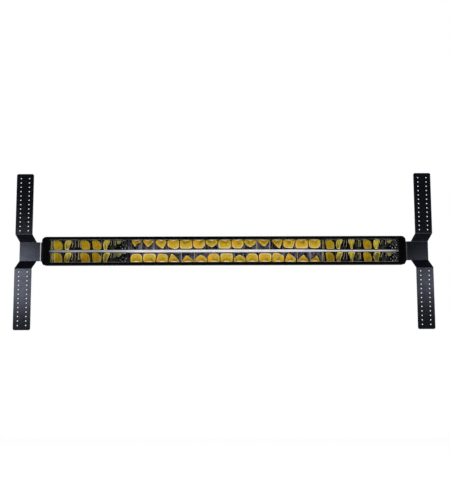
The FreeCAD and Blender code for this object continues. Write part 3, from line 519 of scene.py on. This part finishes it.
def cup(bm, cell, outline, rings, seed, painted_shading, warmth, material=0):
    """A shallow cup with a raised rim, whose sides are a little crinkled."""
    crinkled_from, ripple_share, rim_end, rim_fade = 0.3, 0.18, 0.12, 0.2
    painted_shade_layer, warm_layer = float_layer(bm, "cup"), float_layer(bm, "warm")
    points = rounded(outline)
    u0 = sum(p[0] for p in points) / len(points)
    v0 = sum(p[1] for p in points) / len(points)
    reach = max(p[0] for p in points) - u0
    loops = []
    for scale, depth, shade in rings:
        loop = []
        for u, v in points:
            du, dv = (u - u0) * scale, (v - v0) * scale
            ripple = noise.noise(Vector((du * 2.3 / reach + seed * 7.1, dv * 2.9, seed)))
            sunk = depth * (1 + ripple_share * ripple) if shade > crinkled_from else depth
            vertex = bm.verts.new(cell.at(u0 + du, v0 + dv, sunk * MM))
            # painted highlight and shade: the vertex's place between the pale rim and the dark
            # bottom
            vertex[painted_shade_layer] = min(1.0, max(0.0, painted_shading(v0 + dv, shade)))
            inside = min(1.0, max(0.0, (shade - rim_end) / rim_fade)) * (1.0 - 0.6 * shade)
            vertex[warm_layer] = warmth(cell, seed, du / reach, dv) * inside
            loop.append(vertex)
        loops.append(loop)
    for outer, inner in zip(loops, loops[1:]):
        for i in range(len(points)):
            j = (i + 1) % len(points)
            cell.face(bm, (outer[i], outer[j], inner[j], inner[i]), material)
    cell.face(bm, loops[-1], material)


def lip(bm, cell, u0, u1, v0, height):
    """The pale crescent of the diode's own lens, standing at the outer edge of a cell."""
    steps, around = 12, 6
    edge_depth, rise, fullness = 0.4, 0.7, 0.6
    painted_shade_layer = float_layer(bm, "cup")
    rows = []
    for i in range(steps + 1):
        t = i / steps
        bulge = math.sin(math.pi * t) ** fullness
        row = []
        for k in range(around + 1):
            a = math.pi * k / around
            v = v0 + height * bulge * (0.5 - 0.5 * math.cos(a))
            depth = edge_depth - rise * bulge * math.sin(a)
            vertex = bm.verts.new(cell.at(u0 + (u1 - u0) * t, v, depth * MM))
            vertex[painted_shade_layer] = 0.0
            row.append(vertex)
        rows.append(row)
    for a, b in zip(rows, rows[1:]):
        for k in range(around):
            cell.face(bm, (a[k], b[k], b[k + 1], a[k + 1]), CREAM)


def faceted_well(bm, cell, u0, u1, apex, seed):
    """A mirrored pyramid sunk into a cell, its four sides slightly crinkled."""
    steps, edge_depth, crinkle = 5, 3.2, 1.6
    corners = [(u0, 0.0), (u1, 0.0), (u1, 1.0), (u0, 1.0)]
    grid = {}

    def vertex(side, i, k):
        a, b = corners[side], corners[(side + 1) % 4]
        t, s = i / steps, k / steps
        u = (a[0] * (1 - t) + b[0] * t) * (1 - s) + apex[0] * s
        v = (a[1] * (1 - t) + b[1] * t) * (1 - s) + apex[1] * s
        key = (round(u, 5), round(v, 5))
        if key not in grid:
            shake = noise.noise(Vector((u * 3.1 + seed * 5.3, v * 3.7, seed * 1.7)))
            depth = edge_depth + (apex[2] - edge_depth) * s + shake * crinkle * s
            grid[key] = bm.verts.new(cell.at(u, v, depth * MM))
        return grid[key]

    for side in range(4):
        for k in range(steps):
            for i in range(steps):
                around = ((i, k), (i + 1, k), (i + 1, k + 1), (i, k + 1))
                quad = list(dict.fromkeys(vertex(side, a, b) for a, b in around))
                if len(quad) > 2:
                    cell.face(bm, quad, WELL)


def rib(bm, cell, u, thickness, v0, v1, depth0, material, lean=0.0, bow=0.0):
    """A thin upright wall across a cell, with its front edge rounded; it may lean or bow."""
    steps, shoulder, back = 6, depth0 + 0.4, 9.0
    across = thickness / 2 / cell.half_width
    profile = [
        (-1.0, back), (-1.0, shoulder), (-0.5, depth0), (0.5, depth0), (1.0, shoulder), (1.0, back),
    ]
    rows = []
    for k in range(steps + 1):
        t = k / steps
        middle = u + lean * (t - 0.5) + bow * math.sin(math.pi * t)
        v = v0 + (v1 - v0) * t
        rows.append([bm.verts.new(cell.at(middle + across * s, v, d * MM)) for s, d in profile])
    for a, b in zip(rows, rows[1:]):
        for i in range(len(profile) - 1):
            cell.face(bm, (a[i], a[i + 1], b[i + 1], b[i]), material)


# ---------------------------------------------------------------- reflectors

# places of the looks in a piece's list: cups, then wells with their ribs
CREAM = 1
BROAD, BRIGHT, FAINT = 0, 1, 2
WELL, WHITE, AMBER, YELLOW, GLINT = 0, 1, 2, 3, 4
UPRIGHT = (1.9, 0.5, 0.22)

centre_gold = gold(
    "cup_gold", (0.82, 0.66, 0.29), (0.63, 0.42, 0.02), (0.3, 0.195, 0.001), (0.86, 0.38, 0.015),
)
centre_gold.set("Specular IOR Level", 0.25)
cream = moulded("diode_lens", (1.0, 0.86, 0.42), 0.25, 900.0)
chrome = mirror_facets("reflector_chrome", (0.008, 0.007, 0.012), (0.24, 0.23, 0.28))
# painted shade: a darkened copy of the chrome for the end sections' wells
dark_chrome = mirror_facets("reflector_shade", (0.001, 0.001, 0.001), (0.022, 0.022, 0.02), 0.3)
pale_rib = moulded("rib_pale", (0.5, 0.44, 0.36), 0.3, 400.0)
amber_rib = moulded("rib_amber", (0.16, 0.1, 0.03), 0.3, 400.0)
line_rib = moulded("rib_line", (0.72, 0.66, 0.28), 0.3, 400.0)
painted_glint = moulded("rib_painted_glint", (0.56, 0.54, 0.57), 0.2, 400.0)
end_gold = gold(
    "end_gold", (0.52, 0.43, 0.12), (0.4, 0.27, 0.001), (0.22, 0.14, 0.001), (0.5, 0.15, 0.001),
    edge=(0.15, 0.095, 0.002), folded=UPRIGHT, uneven=1.2,
)
end_gold.set("Specular IOR Level", 0.15)
# end_bright and end_faint are painted lit and shaded copies of the end cups' colouring, for cups
# that catch more and less light
end_bright = gold(
    "end_bright", (0.86, 0.74, 0.25), (0.7, 0.56, 0.055), (0.08, 0.07, 0.014), (0.6, 0.36, 0.01),
    edge=(0.4, 0.33, 0.05), folded=UPRIGHT, uneven=1.5, fall=0.5,
)
end_faint = gold(
    "end_faint", (0.3, 0.29, 0.12), (0.33, 0.3, 0.08), (0.06, 0.055, 0.015), (0.3, 0.22, 0.05),
    edge=(0.2, 0.18, 0.05), folded=UPRIGHT, uneven=1.6,
)


def centre_row(row):
    """The middle section of one row: its cups, the mirrored wells about them and the ribs."""
    turned = row == "lower"
    sign = -1 if turned else 1
    lip_start, lip_height = 0.03 if turned else 0.0, 0.11
    widest_lip, lip_share = 0.56, 0.32
    lower_seeds, apex_v, well_depth, rib_depth = 40, 0.55, 11.5, 0.5
    cups, wells = bmesh.new(), bmesh.new()
    for number, outline in enumerate(CUPS):
        x = SHIFT[row] + (number - (CELLS - 1) / 2) * pitch * sign
        cell = Cell(x, pitch / 2, turned)
        seed = number + (lower_seeds if turned else 0)
        cup(cups, cell, outline, CUP_RINGS, seed, centre_painted_shade, warm_side)
        middle = (outline[0][0] + outline[1][0]) / 2
        reach = min(widest_lip, (outline[1][0] - outline[0][0]) * lip_share)
        lip(cups, cell, middle - reach, middle + reach, lip_start, lip_height)
        apex = (0.3 * noise.noise(Vector((seed * 3.7, 0, 0))), apex_v, well_depth)
        faceted_well(wells, cell, -1.0, 1.0, apex, seed)
        if number:
            open_gap = outline in POINTED and CUPS[number - 1] in POINTED
            thickness, look = (1.3 * MM, WHITE) if open_gap else (0.9 * MM, AMBER)
            rib(wells, cell, -1.0, thickness, 0.0, 1.0, rib_depth, look)
    shown = add_piece(f"{row}_centre_cups", cups, [centre_gold, cream], "bar")
    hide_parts(f"{row}_centre_reflector")
    add_piece(
        f"{row}_centre_wells", wells, [chrome, pale_rib, amber_rib], "bar",
        smooth=False,
    )


def wide(start, end):
    """An end section's broad cup, in shares of the section, with its top right corner cut."""
    width = end - start
    return [
        (start, 0.02), (start + width * 0.52, 0.02), (start + width * 0.8, 0.15),
        (start + width * 0.98, 0.42), (end, 0.97), (start + width * 0.14, 0.97),
        (start + width * 0.05, 0.5),
    ]


def leaf(start, end, foot_start, foot_end):
    """A bright cup that is broad at the top and leans in to a narrow foot."""
    width = end - start
    return [
        (start + width * 0.1, 0.14), (start + width * 0.32, 0.0), (end, 0.0), (end, 0.2),
        (foot_end + width * 0.1, 0.62), (foot_end, 0.98), (foot_start, 0.98), (start, 0.52),
    ]


def vee(start, end, foot_start, foot_end):
    """A cup that narrows evenly from a broad top to a short foot."""
    width = end - start
    return [
        (start, 0.0), (end, 0.0), (end - width * 0.08, 0.22), (foot_end + width * 0.06, 0.62),
        (foot_end, 0.98), (foot_start, 0.98), (foot_start - width * 0.08, 0.6),
        (start + width * 0.06, 0.24),
    ]


def drop(start, end):
    """A small faint cup that reaches only the upper half."""
    width = end - start
    return [
        (start, 0.06), (end, 0.03), (end - width * 0.1, 0.28), (start + width * 0.5, 0.45),
        (start + width * 0.15, 0.36),
    ]


# the cups of each end section from its left, in shares of its length, and each one's look
END_CUPS = {
    "left": [
        (wide(0.05, 0.166), BROAD), (leaf(0.192, 0.278, 0.198, 0.246), BRIGHT),
        (wide(0.396, 0.514), BROAD), (wide(0.54, 0.656), BROAD),
        (leaf(0.682, 0.768, 0.692, 0.728), BRIGHT), (drop(0.848, 0.912), FAINT),
    ],
    "right": [
        (wide(0.058, 0.172), BROAD), (leaf(0.196, 0.28, 0.206, 0.244), BRIGHT),
        (vee(0.352, 0.442, 0.386, 0.408), BRIGHT), (wide(0.546, 0.654), BROAD),
        (leaf(0.676, 0.764, 0.702, 0.738), BRIGHT), (drop(0.852, 0.914), FAINT),
    ],
}
# fine upright lines: share, lean and look
END_RIBS = {
    "left": [
        (0.02, 0.0, YELLOW), (0.04, 0.004, YELLOW), (0.062, 0.006, YELLOW),
        (0.29, -0.012, YELLOW), (0.326, 0.0, WHITE), (0.366, 0.0, YELLOW),
        (0.388, 0.004, YELLOW), (0.52, 0.0, AMBER), (0.66, 0.0, WHITE),
        (0.782, -0.01, YELLOW), (0.816, 0.0, WHITE), (0.832, 0.0, YELLOW),
    ],
    "right": [
        (0.018, 0.0, YELLOW), (0.034, 0.006, YELLOW), (0.183, 0.0, AMBER),
        (0.296, -0.016, WHITE), (0.33, 0.0, WHITE), (0.462, -0.02, AMBER),
        (0.488, 0.008, YELLOW), (0.508, 0.01, YELLOW), (0.786, -0.03, YELLOW),
        (0.84, 0.0, WHITE),
    ],
}
# small facets painted pale as glints towards the section's right end: share, place down the row,
# size in mm
END_GLINTS = [
    (0.92, 0.12, 2.6), (0.945, 0.06, 3.4), (0.965, 0.1, 2.4), (0.975, 0.6, 3.0), (0.962, 0.85, 3.4),
    (0.9, 0.7, 2.4), (0.925, 0.88, 2.8), (0.935, 0.5, 2.0),
]
# rings of an end section's cup, as for the middle section's: the last column places the painted
# highlight and shade
END_RINGS = [
    (1.0, 9.5, 0.1), (1.0, 1.4, 0.05), (0.97, 0.8, 0.0), (0.92, 0.8, 0.1), (0.85, 1.5, 0.27),
    (0.62, 3.0, 0.4), (0.3, 3.6, 0.44),
]
RIB_THICKNESS = 0.75 * MM


def glint(bm, cell, share, v, size, seed):
    """A tiny facet, tilted its own way, painted pale as a glint."""
    rim_depth, peak_depth, slope = 1.4, 0.8, 0.5
    u = share * 2 - 1
    tilt = noise.noise(Vector((seed * 2.7, share * 9, v)))
    half_u = size * MM / 2 / cell.half_width
    half_v = size * MM / 2 / (row_outer - row_inner)
    points = []
    for a, b in ((-1, -0.4), (0.2, -1), (1, 0.5), (-0.3, 1)):
        depth = rim_depth + tilt * a + slope * b
        points.append(cell.at(u + a * half_u, v + b * half_v, depth * MM))
    peak = bm.verts.new(cell.at(u, v, peak_depth * MM))
    ring = [bm.verts.new(point) for point in points]
    for a, b in zip(ring, ring[1:] + ring[:1]):
        cell.face(bm, (a, b, peak), GLINT)


def end_section(row, side):
    """One wide-celled section: its cups, the mirrored wells between them, ribs and facets."""
    apex_v, well_depth, past_midway = 0.5, 12.5, 0.03
    rib_top, rib_depth, rib_bow = 0.04, 0.7, 0.006
    cup_seed, well_seed = 3.3, 11.0
    if side == "right":
        x0, x1 = centre_half + SHIFT["upper"], window_half
    else:
        x0, x1 = -window_half, -centre_half + SHIFT["upper"]
    cell = Cell((x0 + x1) / 2, (x1 - x0) / 2, row == "lower", hanging=True)
    painted_shading = upper_end_painted_shade if row == "upper" else lower_end_painted_shade
    cups, wells = bmesh.new(), bmesh.new()
    outlines = END_CUPS[side]
    for number, (outline, look) in enumerate(outlines):
        points = [(share * 2 - 1, v) for share, v in outline]
        cup(cups, cell, points, END_RINGS, number + cup_seed, painted_shading, warm_heart, look)
    # wells meet a little to the right of midway between the left sides of two neighbouring cups
    beyond = (SHIFT[row] - SHIFT["upper"]) / (x1 - x0)
    edges = [(a[0][-1][0] + b[0][0][0]) / 2 + past_midway for a, b in zip(outlines, outlines[1:])]
    edges = [beyond, *edges, 1.0] if side == "right" else [0.0, *edges, 1.0 + beyond]
    for number, (start, end) in enumerate(zip(edges, edges[1:])):
        apex = (start + end - 1, apex_v, well_depth)
        faceted_well(wells, cell, start * 2 - 1, end * 2 - 1, apex, number + well_seed)
    for share, lean, look in END_RIBS[side]:
        # the lines get shorter towards the section's right end
        foot = 0.96 if share < 0.1 else 0.74 if share < 0.7 else 0.52
        u = share * 2 - 1
        rib(wells, cell, u, RIB_THICKNESS, rib_top, foot, rib_depth, look, lean * 2, rib_bow)
    for number, (share, v, size) in enumerate(END_GLINTS):
        glint(wells, cell, share, v, size, number)
    cup_looks = [end_gold, end_bright, end_faint]
    add_piece(f"{row}_{side}_cups", cups, cup_looks, "bar")
    well_looks = [dark_chrome, pale_rib, amber_rib, line_rib, painted_glint]
    shown = add_piece(
        f"{row}_{side}_wells", wells, well_looks, "bar", smooth=False,
    )
    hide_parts(f"{row}_{side}_reflector")


for row in ("upper", "lower"):
    centre_row(row)
    for side in ("left", "right"):
        end_section(row, side)


def lofted(name, sections, look, body, closed=False, smooth=True):
    """A skin through equal rings of points."""
    bm = bmesh.new()
    rings = [[bm.verts.new(point) for point in ring] for ring in sections]
    if closed:
        rings.append(rings[0])
    for a, b in zip(rings, rings[1:]):
        for i in range(len(a)):
            j = (i + 1) % len(a)
            bm.faces.new((a[i], a[j], b[j], b[i]))
    if not closed:
        bm.faces.new(rings[0][::-1])
        bm.faces.new(rings[-1])
    bmesh.ops.recalc_face_normals(bm, faces=bm.faces)
    return add_piece(name, bm, [look], body, smooth)


def lathed(name, centre, rings, look, old):
    """Turned about the bar's length. Each ring is (place along X, radius, six-sided or not)."""
    around, sixth = 36, math.radians(60)
    sections = []
    for x, radius, six_sided in rings:
        ring = []
        for k in range(around):
            angle = math.tau * k / around
            off_flat = (angle - sixth / 2) % sixth - sixth / 2
            reach = radius / math.cos(off_flat) if six_sided else radius
            y, z = centre.y + reach * math.cos(angle), centre.z + reach * math.sin(angle)
            ring.append(Vector((x, y, z)))
        sections.append(ring)
    made = lofted(name, sections, look, "bar", smooth=False)
    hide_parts(old)


def fasteners(side):
    """Bolts with chamfered heads, and washers with softened edges that clear the flange."""
    sign = 1 if side == "right" else -1
    clearance, soft_inner, soft_outer = 0.08 * MM, 0.3 * MM, 0.4 * MM
    for kind in ("pivot", "lock"):
        low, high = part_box(f"{side}_{kind}_washer")
        centre = (low + high) / 2
        inner, outer = sorted((abs(low.x), abs(high.x)))
        radius = (high.y - low.y) / 2
        clear = inner + clearance
        bore = radius * 0.5
        rings = [
            (clear, bore, False), (clear, radius - soft_inner, False),
            (clear + soft_inner, radius, False), (outer - soft_outer, radius, False),
            (outer, radius - soft_outer, False), (outer, bore, False),
        ]
        rings = [(sign * x, *rest) for x, *rest in rings]
        lathed(f"{side}_{kind}_ring", centre, rings, zinc, f"{side}_{kind}_washer")
        low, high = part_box(f"{side}_{kind}_bolt")
        tip, top = sorted((abs(low.x), abs(high.x)))
        # half the head's width across its flats, a little inside the CAD's head
        flat = min(high.y - low.y, high.z - low.z) / 2 * 0.985
        flat = min(flat, max(high.y - low.y, high.z - low.z) / 2 * math.cos(math.radians(30)))
        shank = bore * 0.9
        rings = [
            (tip, shank * 0.8, False), (tip + 0.8 * MM, shank, False),
            (outer, shank, False), (outer, flat * 0.97, False),
            (outer + 0.35 * MM, flat * 0.97, False), (outer + 0.4 * MM, flat, True),
            (top - 0.9 * MM, flat, True), (top, flat * 0.9, False),
            (top, flat * 0.62, False), (top - 0.6 * MM, flat * 0.52, False),
        ]
        rings = [(sign * x, *rest) for x, *rest in rings]
        lathed(f"{side}_{kind}_screw", centre, rings, zinc, f"{side}_{kind}_bolt")


def divider_rib():
    """The bright rib between the rows, with a rounded nose."""
    half, front, lengths = strip_high.z, strip_low.y, 40
    nose = [
        (-1.0, 2.6), (-0.97, 1.5), (-0.85, 0.7), (-0.6, 0.2), (-0.25, 0.0), (0.25, 0.0), (0.6, 0.2),
        (0.85, 0.7), (0.97, 1.5), (1.0, 2.6),
    ]
    rear = [(1.0, (strip_high.y - front) / MM), (-1.0, (strip_high.y - front) / MM)]
    sections = []
    for i in range(lengths + 1):
        x = strip_low.x + (strip_high.x - strip_low.x) * i / lengths
        sections.append([Vector((x, front + depth * MM, half * z)) for z, depth in nose + rear])
    made = lofted("divider_rib", sections, strip, "bar")
    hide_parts("row_divider")


def window_edge():
    """The moulded bead that runs round the lens just inside the bezel."""
    half_x, half_z = window_half - 0.3 * MM, row_outer - 0.35 * MM
    corner, bead = 2.2 * MM, 0.36 * MM
    corner_steps, around = 4, 8
    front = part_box("lens")[0].y
    path = []
    for quarter, (sx, sz) in enumerate([(1, 1), (-1, 1), (-1, -1), (1, -1)]):
        for step in range(corner_steps + 1):
            a = math.radians(90 * quarter + 90 / corner_steps * step)
            centre = Vector((sx * (half_x - corner), 0, sz * (half_z - corner)))
            out = Vector((math.cos(a), 0, math.sin(a)))
            path.append((centre + out * corner, out))
    sections = []
    for point, out in path:
        ring = []
        for k in range(around):
            a = math.tau * k / around
            in_depth = Vector((0, front + bead * math.sin(a), 0))
            ring.append(point + out * bead * math.cos(a) + in_depth)
        sections.append(ring)
    lofted("lens_bead", sections, bead_painted_highlights(), "bar", closed=True)


divider_rib()
window_edge()
for side in ("left", "right"):
    fasteners(side)

# ---------------------------------------------------------------- stage, lights, camera


def stage_mesh(name, points, faces, material):
    mesh = bpy.data.meshes.new(name)
    mesh.from_pydata(points, [], faces)
    mesh.materials.append(material)
    made = bpy.data.objects.new(name, mesh)
    bpy.context.scene.collection.objects.link(made)
    return made


def background_rays(tree):
    """1 for a ray that shows what is behind the object: seen, mirrored or through glass."""
    path = tree.nodes.new("ShaderNodeLightPath")
    total = path.outputs["Is Camera Ray"]
    for name in ("Is Glossy Ray", "Is Transmission Ray"):
        add = tree.nodes.new("ShaderNodeMath")
        add.operation = "MAXIMUM"
        tree.links.new(total, add.inputs[0])
        tree.links.new(path.outputs[name], add.inputs[1])
        total = add.outputs["Value"]
    return total


def matt(name, colour, roughness):
    """A stage material without gloss, with its node tree and its shader."""
    material = bpy.data.materials.new(name)
    material.use_nodes = True
    surface = material.node_tree.nodes["Principled BSDF"]
    surface.inputs["Base Color"].default_value = opaque(colour)
    surface.inputs["Roughness"].default_value = roughness
    surface.inputs["Specular IOR Level"].default_value = 0.0
    return material, material.node_tree, surface


FLOOR_Z, FLOOR_REACH, FLOOR_GLOW = -0.9, 3.2, 0.45
floor_material, tree, surface = matt("pale_floor", 0.86, 0.9)
surface.inputs["Emission Color"].default_value = opaque(1.0)
lift = tree.nodes.new("ShaderNodeMath")
lift.operation = "MULTIPLY"
tree.links.new(background_rays(tree), lift.inputs[0])
lift.inputs[1].default_value = FLOOR_GLOW
tree.links.new(lift.outputs["Value"], surface.inputs["Emission Strength"])
corners = [(-1, -1), (1, -1), (1, 1), (-1, 1)]
floor_points = [(x * FLOOR_REACH, y * FLOOR_REACH, FLOOR_Z) for x, y in corners]
stage_mesh("floor", floor_points, [(0, 1, 2, 3)], floor_material)

# black cloth that only gloss sees: from the floor before the bar up in front and over it, and a
# low strip behind it
HOOD_RADIUS, HOOD_HALF_WIDTH, HOOD_STEPS = 4.0, 5.0, 24
HOOD_START, HOOD_SWEEP = -12.7, 115
HOOD_FOOT = (-0.55, FLOOR_Z + 0.02)
CLOTH_GAP, LOW_CLOTH_TOP = 0.05, -0.04
cloth_material = matt("black_cloth", (0.004, 0.004, 0.005), 0.5)[0]
section = [HOOD_FOOT]
for step in range(HOOD_STEPS + 1):
    angle = math.radians(HOOD_START + HOOD_SWEEP * step / HOOD_STEPS)
    section.append((-HOOD_RADIUS * math.cos(angle), HOOD_RADIUS * math.sin(angle)))
hood_points = [(x, y, z) for y, z in section for x in (-HOOD_HALF_WIDTH, HOOD_HALF_WIDTH)]
hood_faces = [(i, i + 1, i + 3, i + 2) for i in range(0, len(hood_points) - 2, 2)]
hood = stage_mesh("hood", hood_points, hood_faces, cloth_material)
low_points = [
    (x, FLOOR_REACH - CLOTH_GAP, z)
    for z in (FLOOR_Z, LOW_CLOTH_TOP) for x in (-FLOOR_REACH, FLOOR_REACH)
]
low_cloth = stage_mesh("low_cloth", low_points, [(0, 1, 3, 2)], cloth_material)
for cloth in (hood, low_cloth):
    cloth.visible_camera = cloth.visible_shadow = False
    cloth.visible_diffuse = cloth.visible_transmission = False

WORLD_LIGHT, WORLD_SEEN = 0.55, 1.0
world = bpy.data.worlds.new("studio")
bpy.context.scene.world = world
world.use_nodes = True
tree = world.node_tree
shade = tree.nodes["Background"]
shade.inputs["Color"].default_value = opaque(1.0)
strength = tree.nodes.new("ShaderNodeMix")
tree.links.new(background_rays(tree), strength.inputs["Factor"])
strength.inputs["A"].default_value = WORLD_LIGHT
strength.inputs["B"].default_value = WORLD_SEEN
tree.links.new(strength.outputs["Result"], shade.inputs["Strength"])


def lamp(name, place, target, size, radiance, glossy=True):
    """A rectangular softbox of the given radiance, which gloss shows or doesn't."""
    data = bpy.data.lights.new(name, "AREA")
    data.shape = "RECTANGLE"
    data.size, data.size_y = size
    data.energy = radiance * math.pi * size[0] * size[1]
    made = bpy.data.objects.new(name, data)
    bpy.context.scene.collection.objects.link(made)
    made.location = place
    made.rotation_euler = (Vector(target) - Vector(place)).to_track_quat("-Z", "Y").to_euler()
    made.visible_camera = False
    made.visible_glossy = glossy


lamp("left_softbox", (-1.45, -2.75, 0.17), (-0.5, 0, 0), (0.5, 0.37), 5.5)
lamp("right_softbox", (1.45, -2.75, 0.15), (0.5, 0, 0), (0.5, 0.2), 3.7)
lamp("top_softbox", (0.0, -0.6, 2.6), (0, 0, 0), (2.4, 1.6), 1.6, glossy=False)
lamp("front_fill", (0.0, -3.2, 1.0), (0, 0, 0), (2.4, 1.2), 6.0, glossy=False)

# looking slightly up from below the bar's level
PITCH, YAW, ROLL = math.radians(6.96), math.radians(-0.08), math.radians(-0.17)
DISTANCE, SENSOR_WIDTH, FOCAL_LENGTH = 2.422, 36.0, 57.37
AIM = Vector((3.3 * MM, 0.0, 3.7 * MM))
camera_data = bpy.data.cameras.new("camera")
camera = bpy.data.objects.new("camera", camera_data)
bpy.context.scene.collection.objects.link(camera)
level_part = math.cos(PITCH)
forward = Vector((-math.sin(YAW) * level_part, math.cos(YAW) * level_part, math.sin(PITCH)))
camera.location = AIM - forward * DISTANCE
camera.rotation_mode = "QUATERNION"
upright = forward.to_track_quat("-Z", "Y")
camera.rotation_quaternion = upright @ Quaternion((0.0, 0.0, 1.0), ROLL)
camera_data.sensor_width = SENSOR_WIDTH
camera_data.lens = FOCAL_LENGTH
bpy.context.scene.camera = camera
bpy.context.scene.view_settings.view_transform = "Standard"
